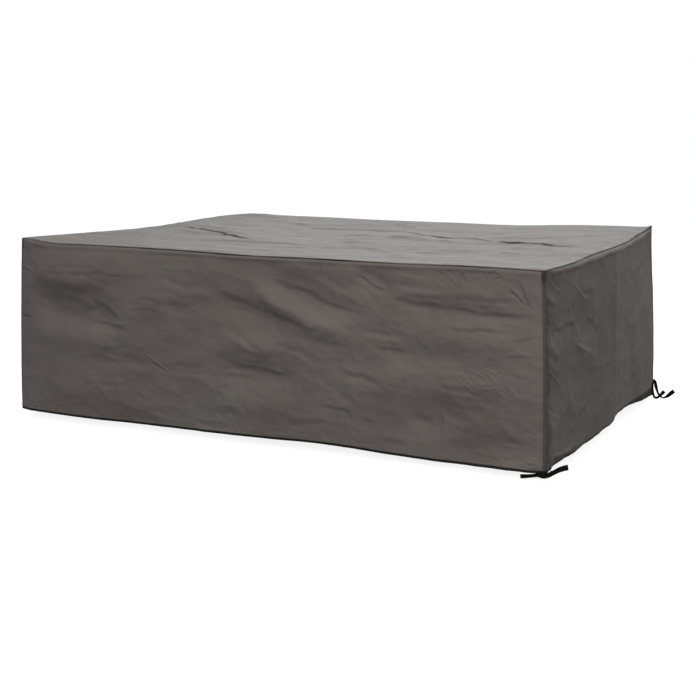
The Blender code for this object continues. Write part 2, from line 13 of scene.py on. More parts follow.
import bpy
import numpy as np
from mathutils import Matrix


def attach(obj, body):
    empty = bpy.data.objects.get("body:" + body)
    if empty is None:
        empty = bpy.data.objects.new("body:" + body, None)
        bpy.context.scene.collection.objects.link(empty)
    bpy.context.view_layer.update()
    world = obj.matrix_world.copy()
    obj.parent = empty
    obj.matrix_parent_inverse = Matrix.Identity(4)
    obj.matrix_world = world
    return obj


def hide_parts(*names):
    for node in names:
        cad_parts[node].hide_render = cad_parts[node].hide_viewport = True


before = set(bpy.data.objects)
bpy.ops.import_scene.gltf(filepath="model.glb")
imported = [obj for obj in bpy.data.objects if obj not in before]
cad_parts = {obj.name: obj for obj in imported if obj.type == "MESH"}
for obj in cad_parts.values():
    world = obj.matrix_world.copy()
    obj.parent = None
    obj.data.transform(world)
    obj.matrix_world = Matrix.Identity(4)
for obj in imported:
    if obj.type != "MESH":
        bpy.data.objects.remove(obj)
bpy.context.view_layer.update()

# ---- Camera ----
camera = bpy.data.objects.new("camera", bpy.data.cameras.new("camera"))
bpy.context.scene.collection.objects.link(camera)
bpy.context.scene.camera = camera
camera.data.sensor_width = 36.0
camera.data.lens = 79.14
camera.location = (2.7262, -5.5973, 0.7530)
camera.rotation_euler = (math.pi / 2 - 0.192604, 0.0, 0.451231)

# ---- Sizes, the same as the solids' ----
LENGTH = 2.20            # along the front, between the walls at the seam
DEPTH = 1.406            # front to back
DROP = 0.695             # height of the walls, seam to hem
SEAM_LEVEL = 0.0145      # the top seam's level above the middle of the top
FLARE_Y = 0.012          # how far the long walls lean out at the hem
CLOTH = 0.0016
HEM_BAND = 0.025         # width of the folded hem
HEM_CLOTH = 0.0026
SEAM_OVERLAP = 0.0001    # how far two panels pass into each other at their seam
SEAM_PUFF = 0.004        # the cloth swells this far beside a seam, over SEAM_REACH
SEAM_REACH = 0.012
FOLD_CLEAR_SEAM = 0.045  # folds fade out over this distance from the top seam
FOLD_CLEAR_CORNER = 0.06 # and from a corner seam
FOLD_END = 0.30          # share of a fold's length over which each of its ends fades
CORNER_LEAN = 1.6        # a corner's lean: 1 is straight, and more leans most at the top
TIE_THICK = 0.0018
TIE_WIDE = 0.020         # the webbing's width where it isn't bunched
TIE_SIDE = (1.0, 0.985, 0.93, 0.5, 0.0, -0.5, -0.93, -0.985)    # half of its section: sideways
TIE_LIFT = (0.0, 0.6, 0.95, 1.0, 1.0, 1.0, 0.95, 0.6)           # and off its middle
TIE_ROWS = 61
TIE_NUDGE = 0.0005       # the step along a tie that its direction is read over
GROUND = -0.7125         # the floor, just under the lowest tie

Corner = namedtuple("Corner", "side_x side_y tuck_x tuck_y rise hem_rise flare_x")
CORNERS = {
    "front_left": Corner(-1, -1, 0.006, 0.006, 0.000, 0.001, 0.012),
    "front_right": Corner(1, -1, 0.010, 0.010, 0.003, -0.002, 0.018),
    "back_right": Corner(1, 1, 0.013, 0.016, 0.010, -0.014, 0.013),
    "back_left": Corner(-1, 1, 0.020, 0.024, -0.056, 0.003, 0.018),
}

# A wall runs from corner start to corner end, along axis 0 or 1, and faces out; cell is its grid's,
# and flip turns its faces over.
Wall = namedtuple("Wall", "start end out axis length flip cell")
WALLS = {
    "front": Wall("front_left", "front_right", (0, -1, 0), 0, LENGTH, False, 0.0062),
    "right": Wall("front_right", "back_right", (1, 0, 0), 1, DEPTH, False, 0.0060),
    "back": Wall("back_left", "back_right", (0, 1, 0), 0, LENGTH, True, 0.0100),
    "left": Wall("front_left", "back_left", (-1, 0, 0), 1, DEPTH, True, 0.0095),
}
TOP_CELL = 0.0085
UP = np.array((0.0, 0.0, 1.0))


def table(columns, lengths, **names):
    """Each name's rows. The first so many columns are lengths in millimetres, here turned into
    metres, and one or two last columns that are left out are 0."""
    Row = namedtuple("Row", columns, defaults=(0.0, 0.0))
    return {name: tuple(Row(*(value / 1000 for value in row[:lengths]), *row[lengths:])
                        for row in rows) for name, rows in names.items()}


# Along the top seam and the hem: how far the line lies above the straight one between its ends,
# and out from it.
SEAM_LINES = table("along rise out", 3, front=(
    (-1100, 0, 0), (-950, -12, 2), (-780, -10, 3), (-350, -8, 0), (-80, -12, -2), (220, -7, 2),
    (570, -5, 0), (800, 1, 3), (1100, 0, 0),
), right=(
    (-700, 0, 0), (-550, -5, 2), (-400, -10, 4), (-200, -10, 5), (0, -13, 6), (200, -16, 6),
    (360, -16, 4), (460, -10, 1), (580, -6, -2), (700, 0, 0),
), back=(
    (-1100, 0, 0), (-900, 22, -4), (-550, 19, 0), (-150, 8, 2), (200, 2, 0), (500, -4, 0),
    (800, 2, 2), (1100, 0, 0),
), left=(
    (-700, 0, 0), (-350, -6, 3), (50, -13, 0), (300, -13, 1), (550, -5, 2), (700, 0, 0),
))
HEM_LINES = table("along rise out", 3, front=(
    (-1120, 0, 0), (-940, -2, 4), (-500, -2, -4), (-100, 1, 4), (300, 6, -3), (530, 1, 4),
    (760, -4, 0), (990, 0, 3), (1120, 0, 0),
), right=(
    (-710, 0, 0), (-440, 7, 4), (-70, 15, 0), (90, 14, -6), (160, 24, -14), (310, 29, -16),
    (500, 12, -6), (710, 0, 0),
), back=(
    (-1120, 0, 0), (-700, 4, 8), (-200, -3, -6), (400, 5, 6), (850, -2, -4), (1120, 0, 0),
), left=(
    (-710, 0, 0), (-300, 5, 7), (200, -3, -5), (710, 0, 0),
))

# Under the top seam the cloth rounds out by reach over the height fall.
SHOULDERS = table("along reach fall", 3, front=(
    (-1100, 12, 70), (-800, 16, 65), (-500, 12, 55), (-200, 5, 30), (300, 3, 20), (1100, 3, 20),
), right=(
    (-700, 3, 20), (-450, 6, 22), (-150, 11, 30), (300, 11, 36), (700, 4, 45),
), back=(
    (-1100, 12, 70), (0, 8, 50), (1100, 8, 45),
), left=(
    (-700, 3, 50), (0, 6, 70), (700, 6, 80),
))

# The main folds, as in the solids: soft ridges, or troughs where height is negative. s runs along
# the panel, X or Y, and t down from the top seam, or along Y on the top.
FOLDS = table("s0 t0 s1 t1 width height bow lean", 7, front=(
    (-1080, 100, -500, 85, 60, 13), (-1070, 235, -580, 265, 62, -30, 30, -0.2),
    (-1060, 360, -620, 350, 60, 8), (-730, 185, -520, 330, 40, 10, -20, 0.2),
    (-600, 330, -420, 255, 50, -10), (-800, 460, -480, 420, 50, -9, 20),
    (-1000, 560, -400, 600, 60, 9, 20), (-30, 40, 440, 215, 50, -18, 20),
    (-80, 90, 420, 300, 45, 19, 30, -0.2), (-240, 150, 160, 270, 50, -19, 10, 0.3),
    (-200, 330, 100, 365, 48, 14), (-180, 440, 180, 460, 55, -21, 10),
    (-300, 520, 240, 575, 60, 9, 20), (-420, 240, -200, 200, 50, -9),
    (360, 20, 560, 130, 45, -12, 0, 0.2), (500, 150, 1060, 180, 45, -13, -20),
    (550, 95, 1000, 90, 40, 9, 20), (600, 240, 1050, 250, 50, 11, 20),
    (450, 340, 850, 320, 50, -11), (600, 430, 1020, 400, 55, 12, 20), (300, 500, 620, 400, 55, 10),
    (550, 560, 820, 500, 60, -13), (740, 640, 1100, 610, 45, -7),
), right=(
    (-460, 50, -140, 200, 45, 10, 20, -0.2), (-580, 140, -200, 290, 55, -10, 20),
    (-480, 240, -120, 400, 45, 10, 20, -0.2), (-560, 380, -180, 460, 60, -10),
    (-490, 280, -480, 580, 40, 5), (-20, 120, 100, 660, 50, -10, -20), (160, 200, 200, 690, 45, 9),
    (280, 300, 360, 690, 40, -9, -20), (400, 220, 440, 690, 42, 8, 20),
    (580, 320, 520, 690, 42, -8), (-680, 665, -200, 650, 35, 8, 20),
), back=(
    (-900, 120, -300, 260, 70, -14, 20), (-100, 300, 600, 180, 70, 12, -20),
    (300, 420, 950, 500, 70, -12, 20), (-800, 480, -100, 420, 70, 10),
), left=(
    (-550, 240, 100, 300, 70, -13, 20), (-100, 430, 500, 360, 70, 11),
    (-500, 540, 100, 580, 60, -9),
), top=(
    (-950, 330, -300, -200, 50, 8, 30, 0.3), (-220, 210, 620, 40, 50, 9, 20, 0.3),
    (500, 80, 1050, 120, 50, 8, -20, 0.3), (-850, -420, -100, -360, 70, -7, 20),
    (-50, -300, 800, -220, 70, -8, -30), (-600, 420, 300, 470, 70, -8, 20),
    (200, 330, 950, 380, 70, 7, -20), (-900, -150, -450, -60, 70, -8),
    (300, -500, 950, -480, 60, 6, 10),
))

# Hollows that run down beside a corner, between t0 and t1.
HOLLOWS = table("t0 t1 wide deep corner", 4, front=((200, 620, 35, 6, "front_left"),), right=(
    (-30, 150, 40, 13, "front_right"), (100, 300, 36, 11, "front_right"),
    (260, 560, 30, 9, "front_right"), (-20, 300, 36, 8, "back_right"),
), back=(
    (50, 500, 36, 8, "back_right"), (50, 500, 36, 8, "back_left"),
), left=(
    (50, 500, 36, 8, "back_left"), (100, 500, 36, 8, "front_left"),
))

# The ties' waypoints. drop is from the top seam's level, and facing and lean are in degrees.
TIES = table("x y drop width facing lean", 4, tie_front_right_a=(
    (1089, -718.2, 697.6, 14), (1089.2, -719.8, 700.8, 11), (1093, -722.4, 702.4, 13),
    (1104, -723.2, 703, 19, 10), (1118, -722, 702.6, 20, 35), (1130, -712, 699.8, 19, 50),
    (1141, -696, 694.5, 18, 60, 5), (1151, -674, 690.2, 19, 65, 10),
    (1162, -650, 688.8, 20, 65, 12), (1170.5, -630, 689.3, 20, 65, 15),
), tie_front_right_b=(
    (1122.2, -673, 697.4, 16, 90), (1122.2, -673.2, 700.8, 14, 90), (1121.5, -679, 706.3, 13, 90),
    (1118, -691, 708.3, 14, 80), (1111, -703, 707.5, 14, 55), (1099, -710.5, 705.5, 13, 25),
    (1082, -714, 707, 13, 5), (1060, -715, 711.7, 13), (1036, -715.7, 715.5, 15),
    (1026.2, -716, 716.6, 15),
), tie_back_right_a=(
    (1104, 718.6, 648, 14, 180), (1113.5, 719.8, 649, 14, 180), (1120.5, 721.2, 654.5, 14, 180),
    (1123.7, 721.7, 664.5, 14, 180), (1126.4, 722, 676.4, 14, 180), (1130.3, 722.3, 689.1, 11, 180),
    (1136.1, 722.5, 703.5, 9, 180), (1143, 722.5, 713, 9, 180, 10),
    (1152, 722.2, 719.5, 9, 175, 40), (1161, 721.5, 721, 10, 172, 60),
    (1169.6, 720.5, 717.5, 12, 168, 50), (1180, 720, 709, 15, 165, 30),
    (1192.4, 718.5, 696.6, 17, 160, 20), (1205.5, 716.5, 685, 17, 160, 20),
), tie_back_right_b=(
    (1118.1, 701, 654, 18, 90), (1118.4, 701.5, 685, 18, 90), (1119, 705, 699, 16, 80),
    (1120, 708.5, 711, 12, 65), (1124.5, 711, 719.5, 10, 40, 10), (1133, 712, 720.5, 10, 15, 10),
    (1143.5, 712, 713.5, 10, 5), (1155.9, 712, 700, 14), (1164.9, 712, 689, 16),
))

# ---- The finer shape ----
# A streak is a band of cloth that faces up, so it is light, or down where height is negative: the
# trough lies above it and the ridge below, each height from the plain cloth and width from the
# streak's middle line. On the top panel it faces back, or towards the front where negative.
STREAKS = table("s0 t0 s1 t1 width height bow", 7, front=(
    # the dent at the left
    (-1050, 112, -450, 104, 6, -2), (-1060, 190, -760, 200, 40, -8),
    (-1050, 142, -720, 168, 32, -9.2), (-800, 150, -550, 200, 30, -3, 20),
    (-1050, 262, -860, 300, 18, 3), (-800, 262, -710, 276, 6, 1.6),
    (-800, 288, -550, 302, 8, -3, 6), (-880, 324, -540, 330, 10, 2.2),
    (-600, 245, -400, 240, 8, -1.2), (-420, 228, -220, 220, 6, -1.2),
    (-560, 180, -260, 200, 16, -2.4, 10), (-500, 120, -180, 150, 20, 2.2, 10),
    (-550, 305, -380, 310, 8, -1), (-340, 298, -240, 302, 7, -1), (-500, 340, -400, 342, 4, 0.5),
    (-660, 366, -600, 371, 4, -1), (-640, 402, -580, 388, 4, -1), (-820, 441, -720, 445, 5, -1),
    (-710, 427, -600, 442, 5, 1.4), (-760, 400, -600, 410, 16, -1.4),
    (-780, 468, -460, 470, 20, 2.6), (-390, 435, -240, 432, 14, -2.4),
    (-360, 468, -230, 474, 6, 1.2),
    # the long diagonal of the middle
    (-40, 95, 360, 262, 26, 5, 8), (20, 88, 300, 165, 16, -4, -4), (220, 150, 420, 195, 9, -2.6),
    (0, 190, 260, 268, 12, -3, 4), (200, 60, 460, 165, 18, 3), (280, 215, 420, 265, 14, -1.8),
    (-180, 150, 40, 200, 18, -3, 10), (-150, 205, 30, 222, 10, -1.2), (-160, 295, 30, 368, 14, 3.6),
    (60, 340, 220, 380, 12, 2), (-130, 418, 120, 442, 12, -4.6, 4), (80, 425, 150, 432, 5, -1.2),
    (-160, 440, -60, 462, 8, 2), (-100, 490, 200, 480, 14, 1.4),
    # the near half
    (370, 46, 510, 108, 7, -3.6), (330, 86, 470, 145, 12, 2.2), (500, 78, 740, 106, 14, 2.6, 4),
    (520, 124, 760, 152, 14, -3.6, 6), (630, 120, 730, 140, 10, 2.2),
    (700, 152, 1080, 160, 10, -3.6, 3), (740, 118, 1030, 128, 12, 2.4),
    (720, 190, 1030, 176, 7, 1.8), (710, 207, 990, 205, 8, -3, 8), (950, 60, 1080, 148, 6, -2, 4),
    (930, 68, 1080, 152, 6, 2.2), (400, 268, 600, 282, 12, 3.6, -6),
    (460, 298, 600, 310, 8, -2.6, 4), (510, 195, 560, 192, 5, 0.7), (520, 215, 570, 230, 7, -1.5),
    (940, 298, 1060, 294, 7, -1.5, 4), (960, 242, 1070, 235, 6, -1.3),
    (940, 286, 1060, 282, 6, 0.9), (780, 304, 900, 302, 5, 0.6),
    (330, 420, 510, 430, 14, -4.2, -12), (380, 464, 520, 462, 5, 1.2, -6),
    (360, 490, 420, 486, 4, -0.6), (500, 430, 600, 445, 6, -0.9), (540, 520, 580, 522, 4, 0.5),
    (440, 361, 490, 360, 4, -0.8), (500, 388, 560, 388, 4, -0.6), (700, 361, 750, 360, 4, -0.8),
    (720, 372, 840, 380, 5, 1.4), (720, 415, 860, 436, 12, -2.2), (760, 446, 900, 443, 5, 2, 4),
    (800, 362, 950, 350, 5, 1.2), (860, 415, 950, 412, 5, -1.3), (960, 362, 1050, 368, 6, -1.4),
    (960, 404, 1020, 432, 10, 2.2), (250, 546, 370, 560, 9, -3, -6), (270, 460, 380, 540, 22, 3),
    (400, 580, 480, 574, 8, -1.3), (380, 650, 470, 650, 7, -1.6, 12), (400, 628, 460, 628, 4, 0.9),
    (620, 530, 720, 560, 20, -3.5), (960, 600, 1050, 620, 7, 2), (760, 500, 860, 512, 10, 1.6),
    (100, 615, 280, 600, 18, -3), (-220, 600, -80, 592, 16, -2.6), (-300, 650, -120, 655, 16, -2.6),
    (-820, 545, -580, 540, 10, -1.6), (-580, 590, -420, 600, 18, 2),
    (-520, 635, -400, 640, 10, 1.2), (460, 645, 600, 640, 16, -2), (-1060, 660, -980, 668, 4, 1),
    (-1050, 680, -970, 676, 4, 0.8), (-200, 618, -120, 640, 5, 1),
    # slack under the top seam
    (-480, 72, -340, 66, 4, 1), (-460, 32, -340, 30, 6, 1.2), (530, 35, 660, 50, 6, 1.2),
    (830, 80, 1000, 100, 6, 1), (1060, 62, 1100, 68, 4, 1), (1040, 246, 1100, 243, 4, 1.4),
), right=(
    (-440, 66, -220, 160, 10, 2.2, 6), (-440, 262, -180, 372, 10, 2.2, 6),
    (-660, 15, -540, 74, 7, 3, 8), (-700, 132, -600, 246, 8, 3.6, -10),
    (-700, 318, -570, 402, 8, 3.6, 6), (-700, 470, -600, 520, 8, 1.4),
    (-690, 95, -600, 140, 16, -3), (-690, 270, -600, 310, 16, -3), (-660, 220, -360, 205, 12, -2),
    (-300, 215, -140, 300, 14, -2), (-360, 280, -260, 286, 5, 0.8), (10, 118, 120, 130, 6, 1),
    (50, 152, 120, 148, 4, -1.2), (-100, 450, 30, 435, 10, -1.8), (-200, 520, -120, 526, 7, -1.2),
    (-420, 562, -300, 545, 16, -2), (-480, 440, -400, 560, 14, 1.2), (300, 610, 400, 560, 10, -1.4),
    (-680, 664, -420, 668, 10, -4), (-680, 646, -440, 650, 6, 2.2), (400, 170, 600, 150, 14, 1.2),
), back=(
    (-900, 90, -520, 180, 20, 4, 10), (-300, 330, 200, 260, 20, -4, 10),
    (400, 120, 800, 230, 18, 3.6), (850, 60, 1060, 180, 10, 3, 6), (-1060, 70, -880, 190, 10, -3),
    (-600, 560, -200, 520, 22, 3),
), left=(
    (-500, 180, -100, 240, 18, 3.6, 10), (100, 300, 500, 220, 18, -3.4),
    (-300, 480, 200, 500, 20, 3, 10), (450, 60, 660, 170, 10, 2.8),
), top=(
    (-600, -300, 0, -250, 30, 2.2), (100, -420, 700, -380, 26, -2, 10),
    (-300, -60, 300, -100, 30, 2.2), (300, -120, 900, -60, 26, -2), (-100, 440, 600, 400, 30, 2.2),
    (500, 540, 1000, 560, 24, -1.8), (-900, -560, -300, -600, 20, -2),
))

# A crease is sharp at its line, and a crest or, where height is negative, a cut. soft is how far
# its sides run out, and lean above 0 makes the side of larger t the longer one.
CREASE_END = 0.09        # a long crease's ends fade over this length
NARROW = 0.0075          # a crease softer than this is in the mesh, and others in the material
CREASES = table("s0 t0 s1 t1 soft height bow lean", 7, front=(
    (-510, 408, -385, 482, 6, 3, 0, -0.3), (-505, 424, -400, 486, 5, -2),
    (-720, 195, -595, 283, 11, 6, 4, 0.2), (-780, 210, -620, 296, 16, -5, -4),
    (-1080, 104, -1020, 124, 6, 3), (-1110, 118, -1050, 128, 5, -3),
    (-1110, 304, -1030, 312, 6, -4), (-172, 465, -165, 545, 8, 2.4, 0, 0.4),
    (-168, 540, -120, 568, 8, 2.4), (-79, 505, -77, 630, 4, 1.4), (341, 584, 342, 632, 4, 1.6),
    (348, 584, 349, 640, 5, -1.4), (350, 545, 372, 590, 7, -2, 4), (725, 470, 727, 640, 5, -1.6),
    (938, 430, 940, 500, 4, -1.2), (972, 490, 974, 530, 4, -1), (838, 625, 842, 660, 4, -1.6),
    (608, 645, 612, 690, 4, 1.4), (490, 528, 492, 562, 5, -1), (234, 10, 252, 60, 5, -2, 4),
    (222, 16, 240, 44, 5, 1.4), (500, 592, 480, 608, 4, 1.2, 6),
    # puckers beside the near corner
    (700, 16, 742, 46, 5, -2.2), (735, 20, 785, 80, 5, 2.2), (758, 60, 800, 84, 5, -2.2),
    (775, 12, 815, 56, 5, -1.8), (690, 52, 730, 78, 5, 1.4), (850, 10, 885, 28, 4.5, -2.4),
    (882, 30, 925, 6, 4.5, -2.4), (915, 8, 950, 26, 4.5, 2.2, 6), (895, 38, 948, 32, 4.5, -1.8),
    (560, 28, 612, 52, 5, 1.4), (600, 22, 640, 40, 5, -1.2), (985, 20, 1060, 150, 7, -3, 6),
    (960, 50, 1066, 152, 7, 3),
    # the fan of small creases
    (812, 392, 872, 418, 5, 2.2), (826, 378, 862, 404, 4.5, -1.8), (852, 362, 905, 388, 5, 2),
    (868, 352, 925, 364, 4.5, -1.8), (900, 372, 948, 404, 5, 1.8), (908, 352, 942, 370, 4.5, 1.6),
    (946, 352, 928, 372, 4.5, -1.8), (880, 412, 950, 402, 4.5, -1.6),
    (770, 372, 850, 428, 6, 1.6, 8), (942, 410, 990, 432, 5, 1.6), (1050, 575, 1090, 592, 5, -1.6),
    (1040, 662, 1090, 668, 5, -2.6), (1062, 648, 1098, 642, 4.5, 2.2),
    (1052, 684, 1096, 678, 4.5, -2.4),
), right=(
    (-510, 300, -506, 575, 6, -2.4), (-500, 375, -496, 585, 5, 2.4),
    (-445, 64, -400, 92, 6, 1.6, 6), (-442, 262, -395, 288, 6, 1.6, 6), (64, 60, 70, 126, 6, -1.8),
    (112, 130, 118, 330, 8, 1.6, 0, 0.4), (75, 330, 85, 400, 7, -2.2), (108, 330, 112, 400, 6, 2.2),
    (128, 450, 160, 560, 7, 3, 6), (145, 470, 168, 590, 7, -3, 6), (168, 560, 140, 660, 7, -3, 4),
    (195, 470, 205, 600, 7, 2), (100, 470, 85, 560, 10, -2.6), (62, 440, 75, 500, 6, 1.8),
    (268, 290, 272, 380, 8, -2.4), (240, 290, 244, 370, 7, 1.8), (286, 430, 288, 510, 7, -2.2),
    (260, 430, 262, 520, 6, 1.4), (225, 450, 222, 560, 6, -1.4), (60, 560, 50, 660, 7, -1.8),
    (90, 600, 82, 680, 6, 1.8), (110, 600, 120, 680, 6, -1.8), (190, 610, 178, 680, 6, 1.8),
    (215, 600, 210, 680, 6, -1.6), (-40, 600, -50, 670, 7, -1.4), (-90, 640, -120, 672, 6, -1.2),
    (620, 60, 600, 300, 10, 1.6), (500, 140, 440, 300, 12, 1.6), (330, 80, 322, 200, 8, -1.2),
), back=(), left=(), top=())

# The finer relief of a wall comes in over these distances from the top seam and from a corner.
FINE_CLEAR = (0.030, 0.022)
CREASE_CLEAR = (0.010, 0.012)
WELT_CLEAR = 0.010       # from the top seam
TURN_CLEAR = 0.060       # from a corner
RIDGE_CLEAR = 0.08
TOP_CLEAR = 0.03         # the top's, from its edges
TURNED_EDGE = 0.0028     # the cloth rises beside a seam by this share over its turned edge
TURNED_SHARE = 0.75
CREASE_ROUND = 0.0015    # radius of a crease's line
STREAK_TAIL = 3.5        # how soon a streak's relief ends beyond its width
STREAK_PEAK = 1.75       # makes it reach its height
TURN_END = 0.2           # share of a turn's length over which each of its ends fades
TURN_MOST = 1.4          # and its greatest depth, in hem bands
HEM_STEP, HEM_STEP_OVER = 0.0009, 0.003         # the hem's turned edge
HEM_DIP, HEM_DIP_OVER, HEM_DIP_IN = 0.0007, 0.0022, 0.004   # its stitches, below that edge
HEM_LIP, HEM_LIP_OVER = 0.0024, 0.006           # its rolled lip

# The top's two long creases run right across it: y along x, and how high the cloth steps up
# behind them. Its grid has close rows along both, and their lips are shaded from start to end.
STEPS = table("x y step", 3, left=(
    (-1100, 360, 0), (-920, 225, 0.5), (-850, 160, 2.5), (-757, 90, 5.5), (-670, 50, 7.5),
    (-570, -10, 7), (-486, -94, 8), (-400, -156, 6), (-310, -205, 1), (0, -250, 0), (1100, -280, 0),
), right=(
    (-1100, 500, 0), (-500, 390, 0), (-340, 360, 2), (-240, 365, 5), (-100, 390, 6), (0, 385, 9),
    (86, 385, 6), (157, 350, 5.5), (243, 272, 6), (330, 210, 9.5), (400, 235, 2.5), (486, 222, 6.5),
    (557, 174, 6.5), (614, 118, 7), (680, 60, 7), (757, 62, 5.5), (814, 40, 6.5), (870, 28, 4),
    (930, 30, 0.4), (1000, 70, 1.2), (1100, 100, 0),
))
STEP_ENDS = ((-0.92, -0.31), (-0.34, 1.02))
STEP_ROWS = (-0.030, -0.020, -0.012, -0.006, -0.0025, 0.0, 0.0025, 0.006, 0.012, 0.020, 0.030)

STEP_SHARE = 0.65        # how much of a step's height shows
STEP_DIP, STEP_DIP_OVER = 0.3, 0.030            # the cloth dips in front of it, as a share of it
STEP_SWELL, STEP_SWELL_OVER = 0.7, 0.050        # and swells behind it
STEP_EDGE = 0.0025       # over which it rises
STEP_SHADED = 0.0038     # a step as high as this has its lip's full shade

PINCH = (0.003, 0.002, 0.006)   # the cloth's shift at the back right corner
PINCH_REACH = 0.012

# How far the top's edge laps out over the front wall, along X, and over the right one. LAP_EDGE is
# the edge's width, and LAP_FADE how far in from it the cloth is drawn along.
LAPS = table("x over", 2, front=(
    (-1100, 0), (-950, 1), (-750, 2.8), (-450, 4.2), (-200, 3.4), (50, 2.6), (300, 4), (500, 2.6),
    (750, 3.6), (980, 1.8), (1100, 0.4),
))
SIDE_LAP = 0.0020
LAP_EDGE, LAP_FADE = 0.0012, 0.0045

# Ridges that run down beside a corner seam, or cuts where height is negative.
WELTS = table("away soft height corner", 3, front=(
    (7.5, 4, 2.6, "front_right"), (56, 6, 1.8, "front_left"),
), right=(
    (10, 5, 1.2, "front_right"), (37, 5, -3.4, "front_right"), (10, 5, 2, "back_right"),
), back=(
    (9, 5, 2, "back_right"), (9, 5, 2, "back_left"),
), left=(
    (9, 5, 2, "front_left"), (9, 5, 2, "back_left"),
))

# Below its line, down to the hem, the cloth turns out, or in where out is negative.
TURNS = table("s0 t0 s1 t1 out", 5, front=((800, 690, 1160, 634, 8),), right=(
    (-700, 650, -200, 680, -8), (400, 672, 740, 660, -5),
), back=(), left=())

# How much of the height of its main folds and of its streaks each panel's cloth shows.
FOLD_SHARE = {"front": 0.92, "right": 0.50, "back": 1.0, "left": 1.0}
STREAK_SHARE = {"front": 1.0, "right": 1.45, "back": 1.0, "left": 1.0, "top": 1.0}

# A rounded ridge that runs along under the top seam, gathered a little by the stitches.
RIDGES = table("t soft height", 3, front=((10, 5, 4.6),), right=((12, 8, 5),), back=(
    (8.5, 5.8, 3.6),
), left=((8.5, 5.8, 3.6),))

# Crumples: random facets, wide and high, standing proud by height at their ridges.
FACET_EDGE = 80.0        # how sharply two facets meet
FACET_DRIFT = 0.35       # how far they stray, in their own sizes, and how unequal they are
FACET_MEAN = 0.45
FACET_MOST = 1.4
PATCH = 0.30             # the size of the patches that the finer crumples come in
PATCH_LEVEL = 0.55       # and their mean and contrast
PATCH_CONTRAST = 0.9
CRUMPLES = table("wide high height seed turn", 3, front=(
    (200, 95, 6, 11, 0.12), (80, 42, 4.2, 12, 0.25), (34, 21, 2.4, 13, 0.35),
), right=(
    (170, 150, 9, 21, 0.25), (85, 80, 6, 22, 0.15), (45, 40, 3.4, 23, 0.1),
), back=(
    (200, 95, 9, 31, -0.12), (85, 45, 4, 32, -0.2), (40, 26, 1.1, 33, 0.3),
), left=(
    (180, 100, 8.5, 41, 0.12), (80, 50, 3.8, 42, 0.2), (40, 26, 1.1, 43, 0.3),
), top=(
    (260, 120, 9, 51, 0.05), (150, 60, 5.6, 52, 0.06), (90, 36, 3, 53, 0),
))
LATTICE = 64             # cells after which random waves and facets repeat
FAR = 100.0              # cells added to keep their places above 0
WANDER_S = ((0.013, 0.075), (0.005, 0.024))     # how far places stray, and over what length
WANDER_T = ((0.010, 0.080), (0.004, 0.026))
SEAM_STEPS = (0.0, 0.0012, 0.0026, 0.0042, 0.0062, 0.009, 0.0125)   # grid lines by a seam
HEM_STEPS = (0.0235, 0.0215, 0.019, 0.0155, 0.012, 0.0085, 0.006, 0.004, 0.002, 0.0)
HEM_CLEAR = 0.002        # the plain rows end this far above the hem's


# ---- The cloth's surfaces ----
def smooth(places, values, where, flat_ends):
    """A smooth curve through values at places, read at where; flat_ends levels it off."""
    slopes = np.gradient(values, places)
    if flat_ends:
        slopes[0] = slopes[-1] = 0.0
    where = np.clip(where, places[0], places[-1])
    cell = np.clip(np.searchsorted(places, where, side="right") - 1, 0, len(places) - 2)
    span = places[cell + 1] - places[cell]
    x = (where - places[cell]) / span
    return (values[cell] * (1 + 2 * x) * (1 - x) ** 2 + slopes[cell] * span * x * (1 - x) ** 2
            + values[cell + 1] * x ** 2 * (3 - 2 * x) - slopes[cell + 1] * span * x ** 2 * (1 - x))


def profile(rows, where, column):
    """Read one column of a table of rows at the places in where."""
    places = np.array([row[0] for row in rows])
    values = np.array([getattr(row, column) for row in rows])
    return smooth(places, values, where, flat_ends=True)


def ease(x):
    """0 below 0, 1 above 1, and a smooth step between."""
    x = np.clip(x, 0.0, 1.0)
    return x * x * (3 - 2 * x)


def bell(x):
    return np.exp(-x ** 2)


def beside(row, s, t, fade=1.0):
    """Places (s, t) as shares along a row's line, distances across it, and how its ends fade, over
    a share of the length or, where shorter, over the length fade."""
    run, fall = row.s1 - row.s0, row.t1 - row.t0
    length = np.hypot(run, fall)
    along = ((s - row.s0) * run + (t - row.t0) * fall) / length ** 2
    across = ((t - row.t0) * run - (s - row.s0) * fall) / length
    across = across - getattr(row, "bow", 0.0) * 4 * along * (1 - along)
    fade = min(FOLD_END, fade / length)
    return along, across, ease(along / fade) * ease((1 - along) / fade)


def fold_relief(folds, s, t):
    total = np.zeros_like(s)
    for fold in folds:
        _, across, ends = beside(fold, s, t)
        width = fold.width * (1 + fold.lean * np.tanh(across / fold.width))
        total += fold.height * ends * bell(across / width)
    return total


def streak_relief(streaks, s, t):
    """An S across each streak, which reaches its height close to its width on either side."""
    total = np.zeros_like(s)
    for streak in streaks:
        _, across, ends = beside(streak, s, t)
        x = across / streak.width
        total += streak.height * ends * STREAK_PEAK * x / (1 + np.abs(x) ** STREAK_TAIL)
    return total


def crease_relief(creases, s, t):
    """The wider creases, rounded a little. The narrower ones are in the cloth's bump instead."""
    total = np.zeros_like(s)
    for crease in creases:
        if crease.soft < NARROW:
            continue
        _, across, ends = beside(crease, s, t, CREASE_END)
        reach = crease.soft * (1 + crease.lean * np.tanh(across / crease.soft))
        away = np.sqrt(across ** 2 + CREASE_ROUND ** 2) - CREASE_ROUND
        total += crease.height * ends * np.exp(-away / reach)
    return total


def turn_relief(turns, s, t):
    total = np.zeros_like(s)
    for turn in turns:
        along, across, _ = beside(turn, s, t)
        ends = ease(along / TURN_END) * ease((1 - along) / TURN_END)
        total += turn.out * ends * np.clip(across / HEM_BAND, 0.0, TURN_MOST)
    return total


